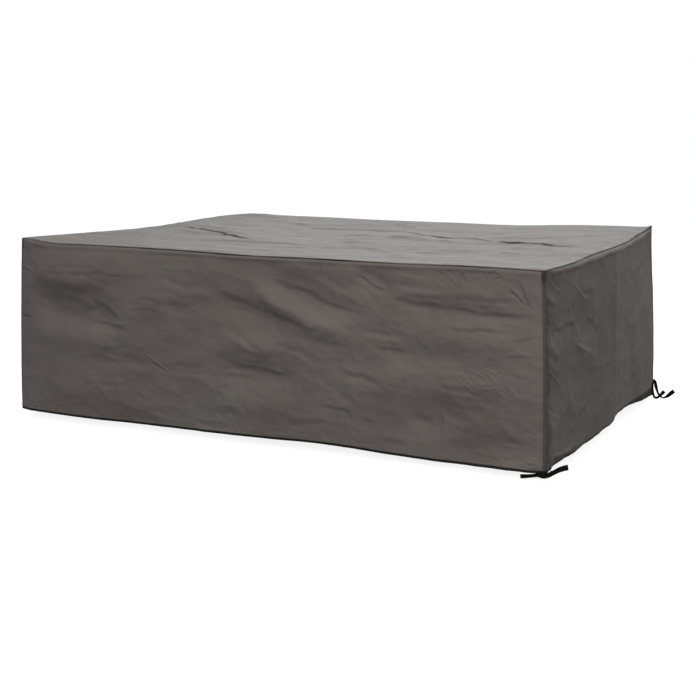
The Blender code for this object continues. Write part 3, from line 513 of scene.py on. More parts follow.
def waves(s, t, size, seed):
    """Smooth random waves of about that size, between -1 and 1."""
    lattice = np.random.default_rng(seed).uniform(-1, 1, (LATTICE, LATTICE))
    x, y = s / size + FAR, t / size + FAR
    i, j = np.floor(x).astype(int), np.floor(y).astype(int)
    fx, fy = ease(x - i), ease(y - j)
    near, far = (lattice[row % LATTICE, i % LATTICE] * (1 - fx)
                 + lattice[row % LATTICE, (i + 1) % LATTICE] * fx for row in (j, j + 1))
    return near * (1 - fy) + far * fy


def wander(s, t, seed):
    """Places moved a little this way and that, so that no fold or crease runs quite evenly."""
    ds, dt = (sum(far * waves(s, t, size, seed + first + k) for k, (far, size) in enumerate(sizes))
              for first, sizes in ((0, WANDER_S), (2, WANDER_T)))
    return s + ds, t + dt


def facets(s, t, row):
    """Shallow facets that meet at uneven ridges: about 0 inside a facet and 1 on a sharp ridge."""
    drift_s = FACET_DRIFT * row.wide * waves(s, t, row.wide * 0.9, row.seed + 200)
    drift_t = FACET_DRIFT * row.high * waves(s, t, row.wide * 0.9, row.seed + 300)
    s, t = s + drift_s, t + drift_t
    x = (s * math.cos(row.turn) + t * math.sin(row.turn)) / row.wide + FAR
    y = (t * math.cos(row.turn) - s * math.sin(row.turn)) / row.high + FAR
    i0, j0 = np.floor(x).astype(int), np.floor(y).astype(int)
    cells = np.random.default_rng(row.seed).random((LATTICE, LATTICE, 3))
    total = np.zeros_like(s)
    for i in (i0 - 1, i0, i0 + 1):
        for j in (j0 - 1, j0, j0 + 1):
            cell = cells[j % LATTICE, i % LATTICE]
            away = ((x - i - cell[..., 0]) ** 2 + (y - j - cell[..., 1]) ** 2
                    + FACET_DRIFT * cell[..., 2])
            total += np.exp(-FACET_EDGE * away)
    return np.clip(-np.log(total) / FACET_EDGE, 0.0, FACET_MOST)


def crumple_relief(name, s, t):
    """Crumples of three sizes. The finer ones come in patches."""
    total = np.zeros_like(s)
    for k, row in enumerate(CRUMPLES[name]):
        wave = waves(s, t, PATCH, row.seed + 500)
        patch = ease(PATCH_LEVEL + PATCH_CONTRAST * wave) if k else 1.0
        total += row.height * patch * (facets(s, t, row) - FACET_MEAN)
    return total


def fine_relief(name, s, t):
    streaks = streak_relief(STREAKS[name], *wander(s, t, 70))
    return STREAK_SHARE[name] * streaks + crumple_relief(name, s, t)


def corner_line(name, v):
    """The seam of a corner, from the top at v = 0 to the hem at v = 1."""
    corner = CORNERS[name]
    top = np.array((corner.side_x * (LENGTH / 2 - corner.tuck_x),
                    corner.side_y * (DEPTH / 2 - corner.tuck_y), SEAM_LEVEL + corner.rise))
    hem = np.array((corner.side_x * (LENGTH / 2 + corner.flare_x),
                    corner.side_y * (DEPTH / 2 + FLARE_Y), SEAM_LEVEL - DROP + corner.hem_rise))
    v = np.asarray(v, dtype=float)[..., None]
    spread = 1 - (1 - v) ** CORNER_LEAN
    line = top + (hem - top) * spread
    line[..., 2:] = top[2] + (hem[2] - top[2]) * v
    return line


def edge_line(name, level, u):
    """The top seam (level 0) or the hem (level 1) of a wall, at the shares u of its length."""
    wall, rows = WALLS[name], (SEAM_LINES, HEM_LINES)[level][name]
    start, end = corner_line(wall.start, level), corner_line(wall.end, level)
    line = start + (end - start) * np.asarray(u, dtype=float)[..., None]
    place = line[..., wall.axis]
    line = line + UP * profile(rows, place, "rise")[..., None]
    return line + np.array(wall.out) * profile(rows, place, "out")[..., None]


def seam_roll(away):
    """The cloth's rise beside a seam: a quick one over the turned edge and a slow one after it."""
    return (TURNED_SHARE * (1 - bell(away / TURNED_EDGE))
            + (1 - TURNED_SHARE) * (1 - bell(away / SEAM_REACH)))


def wall_relief(name, u, s, t):
    """How far the wall's cloth stands out from the plain surface between its seams."""
    wall = WALLS[name]
    from_corner = np.minimum(u, 1 - u) * wall.length

    def clear(seam, corner):
        """How relief comes in over these distances from the top seam and the corners."""
        return ease(t / seam) * ease(from_corner / corner)

    def beyond(corner):
        return (u if corner == wall.start else 1 - u) * wall.length

    reach, fall = (profile(SHOULDERS[name], s, column) for column in ("reach", "fall"))
    roll = np.sqrt(1 - (1 - np.clip(t / fall, 0, 1)) ** 2)
    relief = SEAM_PUFF * seam_roll(t) * seam_roll(from_corner)
    relief += reach * roll * ease(from_corner / FOLD_CLEAR_CORNER)
    folds = fold_relief(FOLDS[name], *wander(s, t, 80))
    relief += FOLD_SHARE[name] * clear(FOLD_CLEAR_SEAM, FOLD_CLEAR_CORNER) * folds
    for hollow in HOLLOWS[name]:
        away = beyond(hollow.corner) / hollow.wide
        middle, half = (hollow.t0 + hollow.t1) / 2, (hollow.t1 - hollow.t0) / 2
        height = ease(1 - np.abs(t - middle) / half)
        relief -= hollow.deep * away * np.exp(1 - away) * height * ease(t / SEAM_REACH)
    relief += fine_relief(name, s, t) * clear(*FINE_CLEAR)
    relief += crease_relief(CREASES[name], s, t) * clear(*CREASE_CLEAR)
    for welt in WELTS[name]:
        away = (beyond(welt.corner) - welt.away) / welt.soft
        relief += welt.height * bell(away) * ease(t / WELT_CLEAR)
    relief += turn_relief(TURNS[name], s, t) * ease(from_corner / TURN_CLEAR)
    for ridge in RIDGES[name]:
        gathered = ridge.height * (1 + 0.5 * waves(s, t, 0.030, 95))
        relief += gathered * ease(from_corner / RIDGE_CLEAR) * bell((t - ridge.t) / ridge.soft)
    # the hem: its turned edge, the row of stitches that holds it, and its rolled lip
    from_hem = DROP - t
    relief += HEM_STEP * ease((HEM_BAND - from_hem) / HEM_STEP_OVER)
    relief -= HEM_DIP * bell((from_hem - HEM_BAND + HEM_DIP_IN) / HEM_DIP_OVER)
    return relief - HEM_LIP * ease(1 - from_hem / HEM_LIP_OVER)


def wall_surface(name, us, vs):
    """Outer surface of a wall as a grid of points, rows going down and columns along it."""
    wall = WALLS[name]
    v, u = np.meshgrid(vs, us, indexing="ij")
    seam, hem = (edge_line(name, level, us)[None] for level in (0, 1))
    plain = seam + (hem - seam) * v[..., None]
    for corner, share in ((wall.start, 1 - u), (wall.end, u)):
        line = corner_line(corner, vs)
        straight = line[:1] + (line[-1:] - line[:1]) * vs[:, None]
        plain = plain + share[..., None] * (line - straight)[:, None]
    relief = wall_relief(name, u, plain[..., wall.axis], v * DROP)
    return plain + np.array(wall.out) * relief[..., None]


def step_relief(s, t):
    """The steps at the top's long creases: a low dip in front, a sharp rise and a slow fall."""
    total = np.zeros_like(s)
    for rows in STEPS.values():
        away = t - profile(rows, s, "y")
        dip = -STEP_DIP * np.exp(np.minimum(away, 0) / STEP_DIP_OVER)
        swell = STEP_SWELL * np.exp(-np.maximum(away, 0) / STEP_SWELL_OVER)
        rise = ease(away / STEP_EDGE + 0.5)
        total += STEP_SHARE * profile(rows, s, "step") * (dip * (1 - rise) + swell * rise)
    return total


def top_rows(us, cell):
    """Shares of the depth for the top's grid, a row of them for each share of its length."""
    x = (np.asarray(us) - 0.5) * LENGTH
    level = np.zeros_like(x)
    lines = [level + away for away in SEAM_STEPS]
    for rows in STEPS.values():
        path = profile(rows, x, "y") + DEPTH / 2
        lines += [path + away for away in STEP_ROWS]
    lines += [level + DEPTH - away for away in reversed(SEAM_STEPS)]
    filled = []
    for near, far in zip(lines, lines[1:]):
        count = max(1, int(round(float(np.median(far - near)) / cell)))
        filled += [near + (far - near) * k / count for k in range(count)]
    return np.array(filled + [lines[-1]]) / DEPTH


def top_surface(us, v):
    """Outer surface of the top panel as a grid of points, rows going back and columns along X. v
    has a share of the depth for each of them."""
    u = np.broadcast_to(us, v.shape)
    u3, v3 = u[..., None], v[..., None]
    front, back, left, right = (edge_line(name, 0, share) for name, share in
                                (("front", u), ("back", u), ("left", v), ("right", v)))
    near, far = (edge_line(name, 0, (0.0, 1.0)) for name in ("front", "back"))
    corners = ((1 - u3) * (1 - v3) * near[0] + u3 * (1 - v3) * near[1]
               + (1 - u3) * v3 * far[0] + u3 * v3 * far[1])
    plain = (1 - v3) * front + v3 * back + (1 - u3) * left + u3 * right - corners
    side = np.minimum(np.minimum(u, 1 - u) * LENGTH, np.minimum(v, 1 - v) * DEPTH)
    s, t = plain[..., 0], plain[..., 1]
    relief = SEAM_PUFF * seam_roll(side)
    relief += fold_relief(FOLDS["top"], *wander(s, t, 80)) * ease(side / FOLD_CLEAR_CORNER)
    relief += (fine_relief("top", s, t) + step_relief(s, t)) * ease(side / TOP_CLEAR)
    front_lap = profile(LAPS["front"], s, "over") * (1 + 0.35 * waves(s, t, 0.05, 90))
    shift = np.zeros_like(plain)
    laps = ((v * DEPTH, front_lap, 1, -1), ((1 - u) * LENGTH, SIDE_LAP, 0, 1))
    for away, over, axis, way in laps:
        lap = (over + away) * ease(away / LAP_EDGE)
        shift[..., axis] += way * lap * bell(np.maximum(away - LAP_EDGE, 0) / LAP_FADE)
    return plain + UP * relief[..., None] + shift


def pinched(points):
    """The cloth drawn up to a point at the corner where the furniture's back stands highest."""
    away = np.linalg.norm(points - corner_line("back_right", 0.0), axis=-1, keepdims=True)
    return points + np.array(PINCH) * bell(away / PINCH_REACH)


def surface_normals(points, outward):
    """Unit normals of a grid of points, on the side that outward points to."""
    normal = np.cross(np.gradient(points, axis=1), np.gradient(points, axis=0))
    normal /= np.linalg.norm(normal, axis=2, keepdims=True)
    return normal * np.sign(normal @ outward)[..., None]


def mitre(points, inner, outward, beyond, thick):
    """Cut a panel's sewn edges along the mitres with its neighbours, a little past them, so that no
    light comes through a seam. beyond has the ways that they face: before the first row, after the
    last, and beside the first and the last column."""
    depth, shift = np.zeros_like(points), np.zeros_like(points)
    edges = ((0, slice(None)), (-1, slice(None)), (slice(None), 0), (slice(None), -1))
    for edge, way in zip(edges, beyond):
        if way is not None:
            depth[edge] += way
            shift[edge] -= (outward - np.array(way)) * SEAM_OVERLAP
    sewn = np.abs(depth).sum(axis=2) > 0
    inner[sewn] = (points - thick[..., None] * (outward + depth))[sewn]
    return points + shift, inner + shift


def add_object(name, points, faces, flat, material):
    """A smooth mesh that has its cloth laid out flat, in metres, as its UV map."""
    mesh = bpy.data.meshes.new(name)
    mesh.from_pydata(points.reshape(-1, 3).tolist(), [], faces)
    corners = np.empty(len(mesh.loops), dtype=np.int32)
    mesh.loops.foreach_get("vertex_index", corners)
    layer = mesh.uv_layers.new(name="cut")
    layer.uv.foreach_set("vector", flat.reshape(-1, 2)[corners].ravel().astype(np.float32))
    mesh.shade_smooth()
    mesh.materials.append(material)
    obj = bpy.data.objects.new(name, mesh)
    bpy.context.scene.collection.objects.link(obj)
    return obj


def sheet_object(name, points, inner, flip, flat, material):
    """One closed sheet from the grids of its outer and inner faces and of the flat cloth."""
    rows, cols = points.shape[:2]
    outer_v = np.arange(rows * cols).reshape(rows, cols)
    inner_v = outer_v + rows * cols

    def quads(a, b, c, d):
        order = (a, d, c, b) if flip else (a, b, c, d)
        return np.stack([x.ravel() for x in order], axis=1)

    rim = np.concatenate((outer_v[0, :-1], outer_v[:-1, -1], outer_v[-1, :0:-1], outer_v[:0:-1, 0]))
    ahead = np.roll(rim, -1)
    faces = np.concatenate((
        quads(outer_v[:-1, :-1], outer_v[1:, :-1], outer_v[1:, 1:], outer_v[:-1, 1:]),
        quads(inner_v[:-1, :-1], inner_v[:-1, 1:], inner_v[1:, 1:], inner_v[1:, :-1]),
        quads(rim, ahead, ahead + rows * cols, rim + rows * cols)))
    return add_object(name, np.stack((points, inner)), faces.tolist(), np.stack((flat, flat)),
                      material)


# ---- Materials ----
THREADS = 0.0015         # one wave of the weave
RIBS = (0.0016, 0.0022)  # the webbing's, along its two diagonals
SEAM_STITCH = 0.0075     # the stitches' distance from a seam
HEM_STITCH = 0.0205      # and from the hem's edge
STITCH = 0.0042          # from one stitch to the next, of which the share STITCH_SHOWS is thread
STITCH_SHOWS = 0.68
CORNER_SHADE = 0.54            # the painted shade beside a corner's seam, as a share of the plain cloth's tone
GATHER = 0.030           # one wave of the tied hem's gathers
CRACKS = 0.0009          # depth of the coating's fine crumples, as a share of which each panel has
FINE = {"front": 1.0, "right": 1.0, "back": 1.0, "left": 1.0, "top": 1.6}
TAUPE = (0.098, 0.088, 0.080)
WALL_COLOURS = ((0.1036, 0.0887, 0.0800, 1.0), (0.0990, 0.0889, 0.0800, 1.0))
TOP_COLOURS = ((0.1010, 0.0880, 0.0820, 1.0), (0.0930, 0.0900, 0.0800, 1.0))
BLACK = (0.0040, 0.0036, 0.0032)


class Value:
    """What a node gives out. Python's operators combine it with others and with numbers."""

    def __init__(self, nodes, socket):
        self.nodes, self.socket = nodes, socket

    def __rsub__(self, other):
        return self.nodes.math("SUBTRACT", other, self)


def operator_node(operation):
    return lambda *values: values[0].nodes.math(operation, *values)


for method, operation in (("add", "ADD"), ("sub", "SUBTRACT"), ("mul", "MULTIPLY"),
                          ("truediv", "DIVIDE"), ("lt", "LESS_THAN"), ("abs", "ABSOLUTE")):
    setattr(Value, "__%s__" % method, operator_node(operation))


class Nodes:
    """Short calls for building one material's nodes."""

    def __init__(self, name, colour, roughness, specular, sheen):
        self.material = bpy.data.materials.new(name)
        self.material.use_nodes = True
        self.tree = self.material.node_tree
        self.shader = self.tree.nodes["Principled BSDF"]
        self.shade(**{"Base Color": (*colour, 1.0), "Roughness": roughness, "Sheen Weight": sheen,
                      "Specular IOR Level": specular, "Sheen Roughness": 0.6})

    def feed(self, node, inputs):
        for key, value in inputs.items():
            if isinstance(value, Value):
                self.tree.links.new(value.socket, node.inputs[key])
            else:
                node.inputs[key].default_value = value

    def shade(self, **inputs):
        self.feed(self.shader, inputs)

    def node(self, kind, inputs, output=0, **settings):
        """One output of a new node, with its inputs set or linked."""
        node = self.tree.nodes.new("ShaderNode" + kind)
        for key, value in settings.items():
            setattr(node, key, value)
        self.feed(node, inputs)
        return Value(self, node.outputs[output])

    def cut(self):
        """The place on the flat cut, and its two coordinates."""
        uv = self.node("UVMap", {}, uv_map="cut")
        return [uv] + [self.node("SeparateXYZ", {"Vector": uv}, axis) for axis in ("X", "Y")]

    def math(self, operation, *values):
        return self.node("Math", dict(enumerate(values)), operation=operation)

    def smaller(self, a, b):
        return self.math("MINIMUM", a, b)

    def larger(self, a, b):
        return self.math("MAXIMUM", a, b)

    def wave(self, value, length):
        return self.math("SINE", value * (math.tau / length))

    def vector(self, operation, *values, output=0):
        return self.node("VectorMath", dict(enumerate(values)), output, operation=operation)

    def scaled(self, vector, by):
        return self.node("VectorMath", {0: vector, "Scale": by}, operation="SCALE")

    def noise(self, vector, scale, detail=2.0, rough=0.5, output="Fac"):
        inputs = {"Vector": vector, "Scale": scale, "Detail": detail, "Roughness": rough}
        return self.node("TexNoise", inputs, output)

    def spread(self, value, low, high, bottom=0.0, top=1.0):
        return self.node("MapRange", {"Value": value, "From Min": low, "From Max": high,
                                      "To Min": bottom, "To Max": top})

    def bumped(self, reliefs, strength):
        height = reduce(operator.add, reliefs)
        inputs = {"Height": height, "Strength": strength, "Distance": 1.0}
        self.shade(Normal=self.node("Bump", inputs, "Normal"))


def on_cut(name, s, t):
    """Where the place (s, t) of a wall lies on its flat cut."""
    wall = WALLS[name]
    start, end = (corner_line(corner, t / DROP)[wall.axis] for corner in (wall.start, wall.end))
    return np.array(((s - start) / (end - start) * wall.length, t, 0.0))


def beside_line(n, place, start, run):
    """How far places of the cut are from a line's middle, as a share of it, and from the line."""
    length = float(np.hypot(run[0], run[1]))
    offset = n.vector("SUBTRACT", place, start)
    aside = np.array((-run[1], run[0], 0.0)) / length
    along, across = (n.vector("DOT_PRODUCT", offset, way, output="Value")
                     for way in (run / length ** 2, aside))
    return abs(along - 0.5), abs(across)


def wrinkles(n, uv, name):
    """The creases too narrow for the mesh: a height for the bump, and for the colour painted shade
    in their cuts and painted light along their crests.
    """
    bend = n.vector("SUBTRACT", n.noise(uv, 22.0, output="Color"), (0.5, 0.5, 0.5))
    place = n.vector("ADD", uv, n.scaled(bend, 0.022))
    heights, shades = [], []
    for crease in CREASES[name]:
        if crease.soft >= NARROW:
            continue
        start = on_cut(name, crease.s0, crease.t0)
        middle, away = beside_line(n, place, start, on_cut(name, crease.s1, crease.t1) - start)
        line = n.spread(away, 0.0, crease.soft * 1.3, 1.0, 0.0)
        line = line * n.spread(middle, 0.18, 0.5, 1.0, 0.0)
        heights.append(line * (crease.height * 0.9))
        shades.append(line * (-crease.height * (90 if crease.height < 0 else 45)))
    return reduce(operator.add, heights), reduce(operator.add, shades)


def seam_tone(n, uv, x, y, from_end, near_end, name):
    """The painted shade beside the seams: down the corners and at their tops, and along the top's
    far edge.
    """
    if name == "top":
        # painted shade along the top's far edge, over a wandering width
        wear_and_shade = n.spread(n.noise(uv, 7.0), 0.40, 0.60, 0.0015, 0.0085)
        return n.spread(from_end / wear_and_shade, 0.7, 1.3, 0.40, 1.0)
    # painted shade down beside the corner seams, widest beside the right wall's near corner
    if name == "right":
        width = n.spread(n.noise(uv, 7.0, 1.0), 0.35, 0.65, 0.014, 0.052)
        seam_shade = (n.spread(x / width, 0.8, 1.15, CORNER_SHADE, 1.0)
                  * n.spread(from_end, 0.0095, 0.0150, 0.50, 1.0))
    elif name == "front":
        seam_shade = (n.spread(from_end, 0.0085, 0.0115, CORNER_SHADE, 1.0)
                  * n.spread(x, 0.0050, 0.0090, 0.60, 1.0))
    else:
        seam_shade = n.spread(near_end, 0.0095, 0.0125, 0.80, 1.0)
    # and painted shade at the top of each corner seam
    high = n.spread(near_end, 0.010, 0.016, 1.0, 0.0) * n.spread(y, 0.030, 0.055, 1.0, 0.0)
    return seam_shade * (1.0 - high * 0.6)


def step_tone(n, uv):
    """The shade under the lips of the top's long creases, in straight lengths of about 70 mm."""
    corner = np.array((LENGTH / 2, DEPTH / 2, 0.0))
    lines = []
    for rows, (start, end) in zip(STEPS.values(), STEP_ENDS):
        xs = np.linspace(start, end, int((end - start) / 0.07) + 2)
        path = corner + np.stack((xs, profile(rows, xs, "y"), 0 * xs), axis=1)
        steps = profile(rows, xs, "step")
        for k in range(len(xs) - 1):
            painted_shade = min(1.0, (steps[k] + steps[k + 1]) / 2 / STEP_SHADED)
            middle, away = beside_line(n, uv, path[k], path[k + 1] - path[k])
            lines.append(n.spread(away, 0.003, 0.015, 0.76 * painted_shade, 0.0) * (middle < 0.5))
    return 1.0 - reduce(n.larger, lines)


def tied_hem(n, uv, x, y):
    """The right wall's gathers at the far corner, where its hem is tied: their waves and shade."""
    edge = n.spread(x, 0.90, 1.20, 0.694, 0.664) + n.spread(x, 1.20, 1.40, 0.0, -0.010)
    inside = n.spread(y - edge, 0.0, 0.004)
    slant = x + y * 0.6 + n.spread(n.noise(uv, 14.0), 0.0, 1.0, -0.012, 0.012)
    gathers = n.wave(slant, GATHER) * inside
    return gathers, inside * n.spread(gathers, -1.0, 1.0, 0.98, 0.76)


def cloth_material(name, width, height, hem):
    """Coated woven polyester. width and height are the cut's size, and hem says whether its far
    edge is hemmed."""
    n = Nodes(name + "_cloth", TAUPE, 0.70, 0.22, 0.06)
    uv, x, y = n.cut()
    weave = n.wave(x, THREADS) * n.wave(y, THREADS)
    fibre = n.noise(uv, 900.0, 3.0)
    patchy = n.noise(uv, 2.4, 4.0, 0.55)
    small = n.noise(uv, 26.0, 3.0, 0.6)
    # stitches beside the seams and along the hem
    from_end, from_hem = width - x, height - y
    near_end = n.smaller(x, from_end)
    near = reduce(n.smaller, [x, from_end, y] + ([] if hem else [from_hem]))
    rows = abs(near - SEAM_STITCH)
    if hem:
        rows = n.smaller(rows, abs(from_hem - HEM_STITCH))
    # painted shade beside the seams: under a wall's top seam, and along all four edges of the top,
    # over a wandering width
    sewn = n.spread(n.noise(uv, 6.0), 0.35, 0.65, 0.0012, 0.0034)
    painted_shade = n.spread((y if hem else near) / sewn, 0.7, 1.5, 0.85, 0.0)
    if name in ("front", "top"):
        # the painted shade along the long front seam, and all round the top, is heaviest in the
        # middle of the length and fainter towards its ends
        shade_along = n.spread(x, 0.05, 0.80, 0.20, 1.0) * n.spread(x, 1.45, 1.65, 1.0, 0.10)
        painted_shade = painted_shade * (shade_along + n.spread(x, 1.75, 1.95, 0.0, 0.55))
    thread = n.spread(rows, 0.0005, 0.0011, 1.0, 0.0)
    stitch = thread * (n.math("FRACT", (x + y) * (1 / STITCH)) < STITCH_SHOWS)
    # colour: a little patchy, with each thread's own tone, the sewing thread darker, and painted
    # shade along the seams
    tone = (n.spread(patchy, 0.3, 0.7, 0.86, 1.12) + n.spread(small, 0.3, 0.7, -0.03, 0.03)
            + n.spread(weave, -1.0, 1.0, -0.05, 0.05) + n.spread(fibre, 0.3, 0.7, -0.04, 0.04))
    tone = tone * n.spread(stitch, 0.0, 1.0, 1.0, 0.72) * (1.0 - painted_shade)
    # bump: the weave, the crumpled coating and the puckered thread
    cracked = n.node("TexVoronoi", {"Vector": uv, "Scale": 62.0}, "Distance")
    reliefs = [weave * 0.00006, cracked * (CRACKS * FINE[name])]
    # painted shade along the bottom edge of the hem
    if hem:
        tone = tone * n.spread(from_hem, 0.0088, 0.0118, 0.03, 1.0)
    # the narrow creases, with painted shade in their cuts and painted light along their crests
    if CREASES[name]:
        creased, shade = wrinkles(n, uv, name)
        reliefs.append(creased)
        tone = tone * (1.0 - shade)
    # painted shade beside the corner seams and along the top's far edge
    tone = tone * seam_tone(n, uv, x, y, from_end, near_end, name)
    if name == "right":
        # one fold with a painted step in light, shade on its near side and light beyond it, and the
        # tied hem's gathers with their painted shade
        light_step = n.spread(x, 0.806, 0.814, 1.0, -0.50) * n.spread(y, 0.35, 0.60, 0.18, 0.11)
        gathers, shade = tied_hem(n, uv, x, y)
        reliefs.append(gathers * 0.0016)
        tone = tone * (1.0 - light_step) * (1.0 - shade)
    if name == "top":
        # shaded lips, and fine rucks that run along the length of the cloth
        rucks = n.noise(n.vector("MULTIPLY", uv, (6.0, 52.0, 1.0)), 1.0, 3.0, 0.55)
        reliefs.append(rucks * 0.0042)
        tone = tone * step_tone(n, uv)
    reliefs += [stitch * 0.0003, small * (0.0006 * FINE[name]), fibre * 0.00005]
    n.bumped(reliefs, 0.8)
    first, second = WALL_COLOURS if hem else TOP_COLOURS
    mixed = {0: n.spread(patchy, 0.35, 0.65), 6: first, 7: second}
    warm = n.node("Mix", mixed, 2, data_type="RGBA")
    rough = n.spread(small, 0.3, 0.7, 0.64, 0.74) + n.spread(weave, -1.0, 1.0, 0.03, -0.03)
    n.shade(**{"Base Color": n.scaled(warm, tone), "Roughness": rough})
    return n.material


def webbing_material():
    """Black webbing: a ribbed narrow weave with its own dull sheen."""
    n = Nodes("webbing", BLACK, 0.80, 0.10, 0.0)
    uv, x, y = n.cut()
    rib, cross = n.wave(x + y, RIBS[0]), n.wave(x - y, RIBS[1])
    fibre, wear_and_shade = n.noise(uv, 1200.0, 3.0), n.noise(uv, 60.0, 3.0)
    tone = (n.spread(rib, -1.0, 1.0, 0.75, 1.25) + n.spread(wear_and_shade, 0.3, 0.7, -0.15, 0.25)
            + n.spread(fibre, 0.3, 0.7, -0.1, 0.1))
    n.shade(**{"Base Color": n.scaled(BLACK, tone)})
    n.bumped((rib * 0.00012, cross * 0.00008), 0.9)
    return n.material


# ---- Pieces ----
def shares(length, cell, sewn_end=True):
    """Shares of a length for the grid's lines: about a cell apart, and closer beside its start,
    and beside its end where that is sewn."""
    last = SEAM_STEPS[-1]
    end = length - (last if sewn_end else 0.0)
    inner = np.linspace(last, end, int((end - last) / cell) + 1)
    after = [length - x for x in reversed(SEAM_STEPS[:-1])] if sewn_end else ()
    return np.concatenate((SEAM_STEPS[:-1], inner, after)) / length


def drop_shares(cell):
    """Shares of the drop: close rows under the seam, about the hem's stitches and at its lip."""
    above = DROP - HEM_BAND - HEM_CLEAR
    return np.concatenate((shares(above, cell, False) * above, DROP - np.array(HEM_STEPS))) / DROP


def place(obj, node, slot):
    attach(obj, "root")
    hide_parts(node)


def make_panel(name, points, thick, out, beyond, flat, flip, material):
    """The sheet of a panel from its outer surface, sewn to the panels beyond its edges."""
    inner = points - thick[..., None] * surface_normals(points, out)
    points, inner = mitre(points, inner, out, beyond, thick)
    flat = np.stack(np.broadcast_arrays(*flat), axis=-1)
    obj = sheet_object(name + "_cloth", pinched(points), pinched(inner), flip, flat, material)
    place(obj, name + "_panel", "cloth")
    return obj


def make_wall(name):
    wall = WALLS[name]
    length = wall.length
    us, vs = shares(length, wall.cell), drop_shares(wall.cell)
    points = wall_surface(name, us, vs)
    thick = np.full(points.shape[:2], CLOTH)
    thick[vs * DROP > DROP - HEM_BAND] = HEM_CLOTH
    before, after = ("left", "right") if wall.axis == 0 else ("front", "back")
    beyond = (UP, None, WALLS[before].out, WALLS[after].out)
    material = cloth_material(name, length, DROP, hem=True)
    obj = make_panel(name, points, thick, np.array(wall.out, dtype=float), beyond,
                     (us[None] * length, vs[:, None] * DROP), wall.flip, material)


def make_top(cell):
    us = shares(LENGTH, cell)
    vs = top_rows(us, cell)
    points = top_surface(us, vs)
    thick = np.full(points.shape[:2], CLOTH)
    beyond = [WALLS[name].out for name in ("front", "back", "left", "right")]
    material = cloth_material("top", LENGTH, DEPTH, hem=False)
    obj = make_panel("top", points, thick, UP, beyond, (us[None] * LENGTH, vs * DEPTH), True,
                     material)


def make_tie(name, material):
    """A strip of webbing swept along its waypoints, with rounded edges and square cut ends."""
    rows = np.array(TIES[name])
    steps = np.linalg.norm(np.diff(rows[:, :3], axis=0), axis=1)
    lengths = np.concatenate(([0.0], np.cumsum(steps)))
    where = np.linspace(0.0, lengths[-1], TIE_ROWS)

    def read(spot):
        return [smooth(lengths, column, spot, flat_ends=False) for column in rows.T]

    def line(spot):
        x, y, drop = read(spot)[:3]
        return np.stack((x, y, SEAM_LEVEL - drop), axis=1)

    middle = line(where)
    tangent = line(where + TIE_NUDGE) - line(where - TIE_NUDGE)
    width, facing, lean = read(where)[3:]
    facing, lean = np.radians(facing), np.radians(lean)
    level = np.cos(lean)
    face = np.stack((np.sin(facing) * level, -np.cos(facing) * level, np.sin(lean)), axis=1)
    tangent /= np.linalg.norm(tangent, axis=1, keepdims=True)
    across = np.cross(face, tangent)
    across /= np.linalg.norm(across, axis=1, keepdims=True)
    face = np.cross(tangent, across)
    # the section: flat faces, round edges, and cupped where the webbing is bunched
    side = np.concatenate((TIE_SIDE, -np.array(TIE_SIDE)))
    lift = np.concatenate((TIE_LIFT, -np.array(TIE_LIFT)))
    cup = (TIE_WIDE - width)[:, None] * 0.35 * (side ** 2 - 0.4)[None]
    points = (middle[:, None] + across[:, None] * (width[:, None] / 2 * side)[..., None]
              + face[:, None] * (TIE_THICK / 2 * lift + cup)[..., None])
    count = len(side)
    rings = np.arange(len(where) * count).reshape(-1, count)
    ahead = np.roll(rings, -1, axis=1)
    quads = np.stack((rings[:-1], ahead[:-1], ahead[1:], rings[1:]), axis=-1).reshape(-1, 4)
    faces = quads.tolist() + [rings[0, ::-1].tolist(), rings[-1].tolist()]
    flat = np.stack(np.broadcast_arrays(side[None] * (TIE_WIDE / 2), where[:, None]), axis=-1)
    obj = add_object(name + "_webbing", points, faces, flat, material)
    place(obj, name, "webbing")


webbing = webbing_material()
for tie in TIES:
    make_tie(tie, webbing)
make_top(TOP_CELL)
for wall_name in WALLS:
    make_wall(wall_name)

# ---- Floor and light ----
floor_mesh = bpy.data.meshes.new("floor")
floor_mesh.from_pydata([(x, y, GROUND) for x, y in ((-60, -60), (60, -60), (60, 60), (-60, 60))],
                       [], [(0, 1, 2, 3)])
floor = bpy.data.objects.new("floor", floor_mesh)
bpy.context.scene.collection.objects.link(floor)
pale = Nodes("pale_floor", (0.30, 0.30, 0.30), 0.9, 0.0, 0.0)
pale.shade(**{"Emission Color": (1.0, 1.0, 1.0, 1.0), "Emission Strength": 0.86})
pale.material.cycles.emission_sampling = "NONE"
floor_mesh.materials.append(pale.material)
floor.visible_diffuse = False
floor.visible_glossy = False

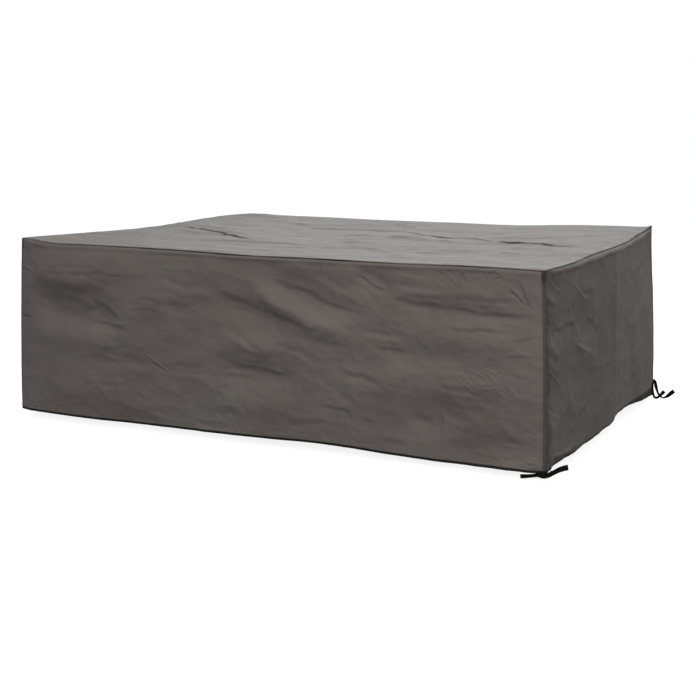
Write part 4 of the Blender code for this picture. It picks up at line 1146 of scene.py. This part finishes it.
Light = namedtuple("Light", "name at towards size power")
LIGHTS = (
    Light("behind", (-1.1, 4.2, 2.5), (0.0, 0.0, 0.0), (4.4, 1.4), 188),
    Light("overhead", (0.6, -1.6, 3.0), (0.2, -0.6, -0.3), (2.4, 1.4), 35),
    Light("front_right", (2.6, -4.6, 1.9), (0.5, 0.0, -0.3), (3.0, 1.6), 98),
    Light("front_left", (0.8, -5.2, 1.9), (0.5, 0.0, -0.3), (3.0, 1.6), 50),
    Light("side", (3.2, 2.2, 1.0), (1.1, 0.5, -0.3), (1.2, 1.2), 13),
)
for light in LIGHTS:
    data = bpy.data.lights.new(light.name, "AREA")
    data.shape = "RECTANGLE"
    data.size, data.size_y = light.size
    data.energy = light.power
    lamp = bpy.data.objects.new(light.name, data)
    bpy.context.scene.collection.objects.link(lamp)
    lamp.location = light.at
    aim = np.array(light.towards) - np.array(light.at)
    lamp.rotation_euler = (math.atan2(math.hypot(aim[0], aim[1]), -aim[2]), 0.0,
                           math.atan2(aim[1], aim[0]) - math.pi / 2)

world = bpy.data.worlds.new("studio")
bpy.context.scene.world = world
world.use_nodes = True
sky = world.node_tree
background = sky.nodes["Background"]
where_to, height_of, level, ramp = (sky.nodes.new("ShaderNode" + kind) for kind in
                                    ("TexCoord", "SeparateXYZ", "MapRange", "ValToRGB"))
# half way is the horizon: bright just above it, where it backs the floor, and dim below
SKY = ((0.0, 0.12), (0.465, 0.16), (0.48, 1.0), (0.53, 1.0), (0.56, 0.5), (0.8, 0.5), (1.0, 0.56))
for _ in range(len(SKY) - 2):
    ramp.color_ramp.elements.new(0.5)
for stop, (spot, bright) in zip(ramp.color_ramp.elements, SKY):
    stop.position = spot
    stop.color = (bright, bright, bright, 1.0)
level.inputs["From Min"].default_value = -1.0
for source, target in ((where_to.outputs["Generated"], height_of.inputs[0]),
                       (height_of.outputs["Z"], level.inputs["Value"]),
                       (level.outputs["Result"], ramp.inputs["Fac"]),
                       (ramp.outputs["Color"], background.inputs["Color"])):
    sky.links.new(source, target)
background.inputs["Strength"].default_value = 1.0

bpy.context.scene.view_settings.view_transform = "Standard"
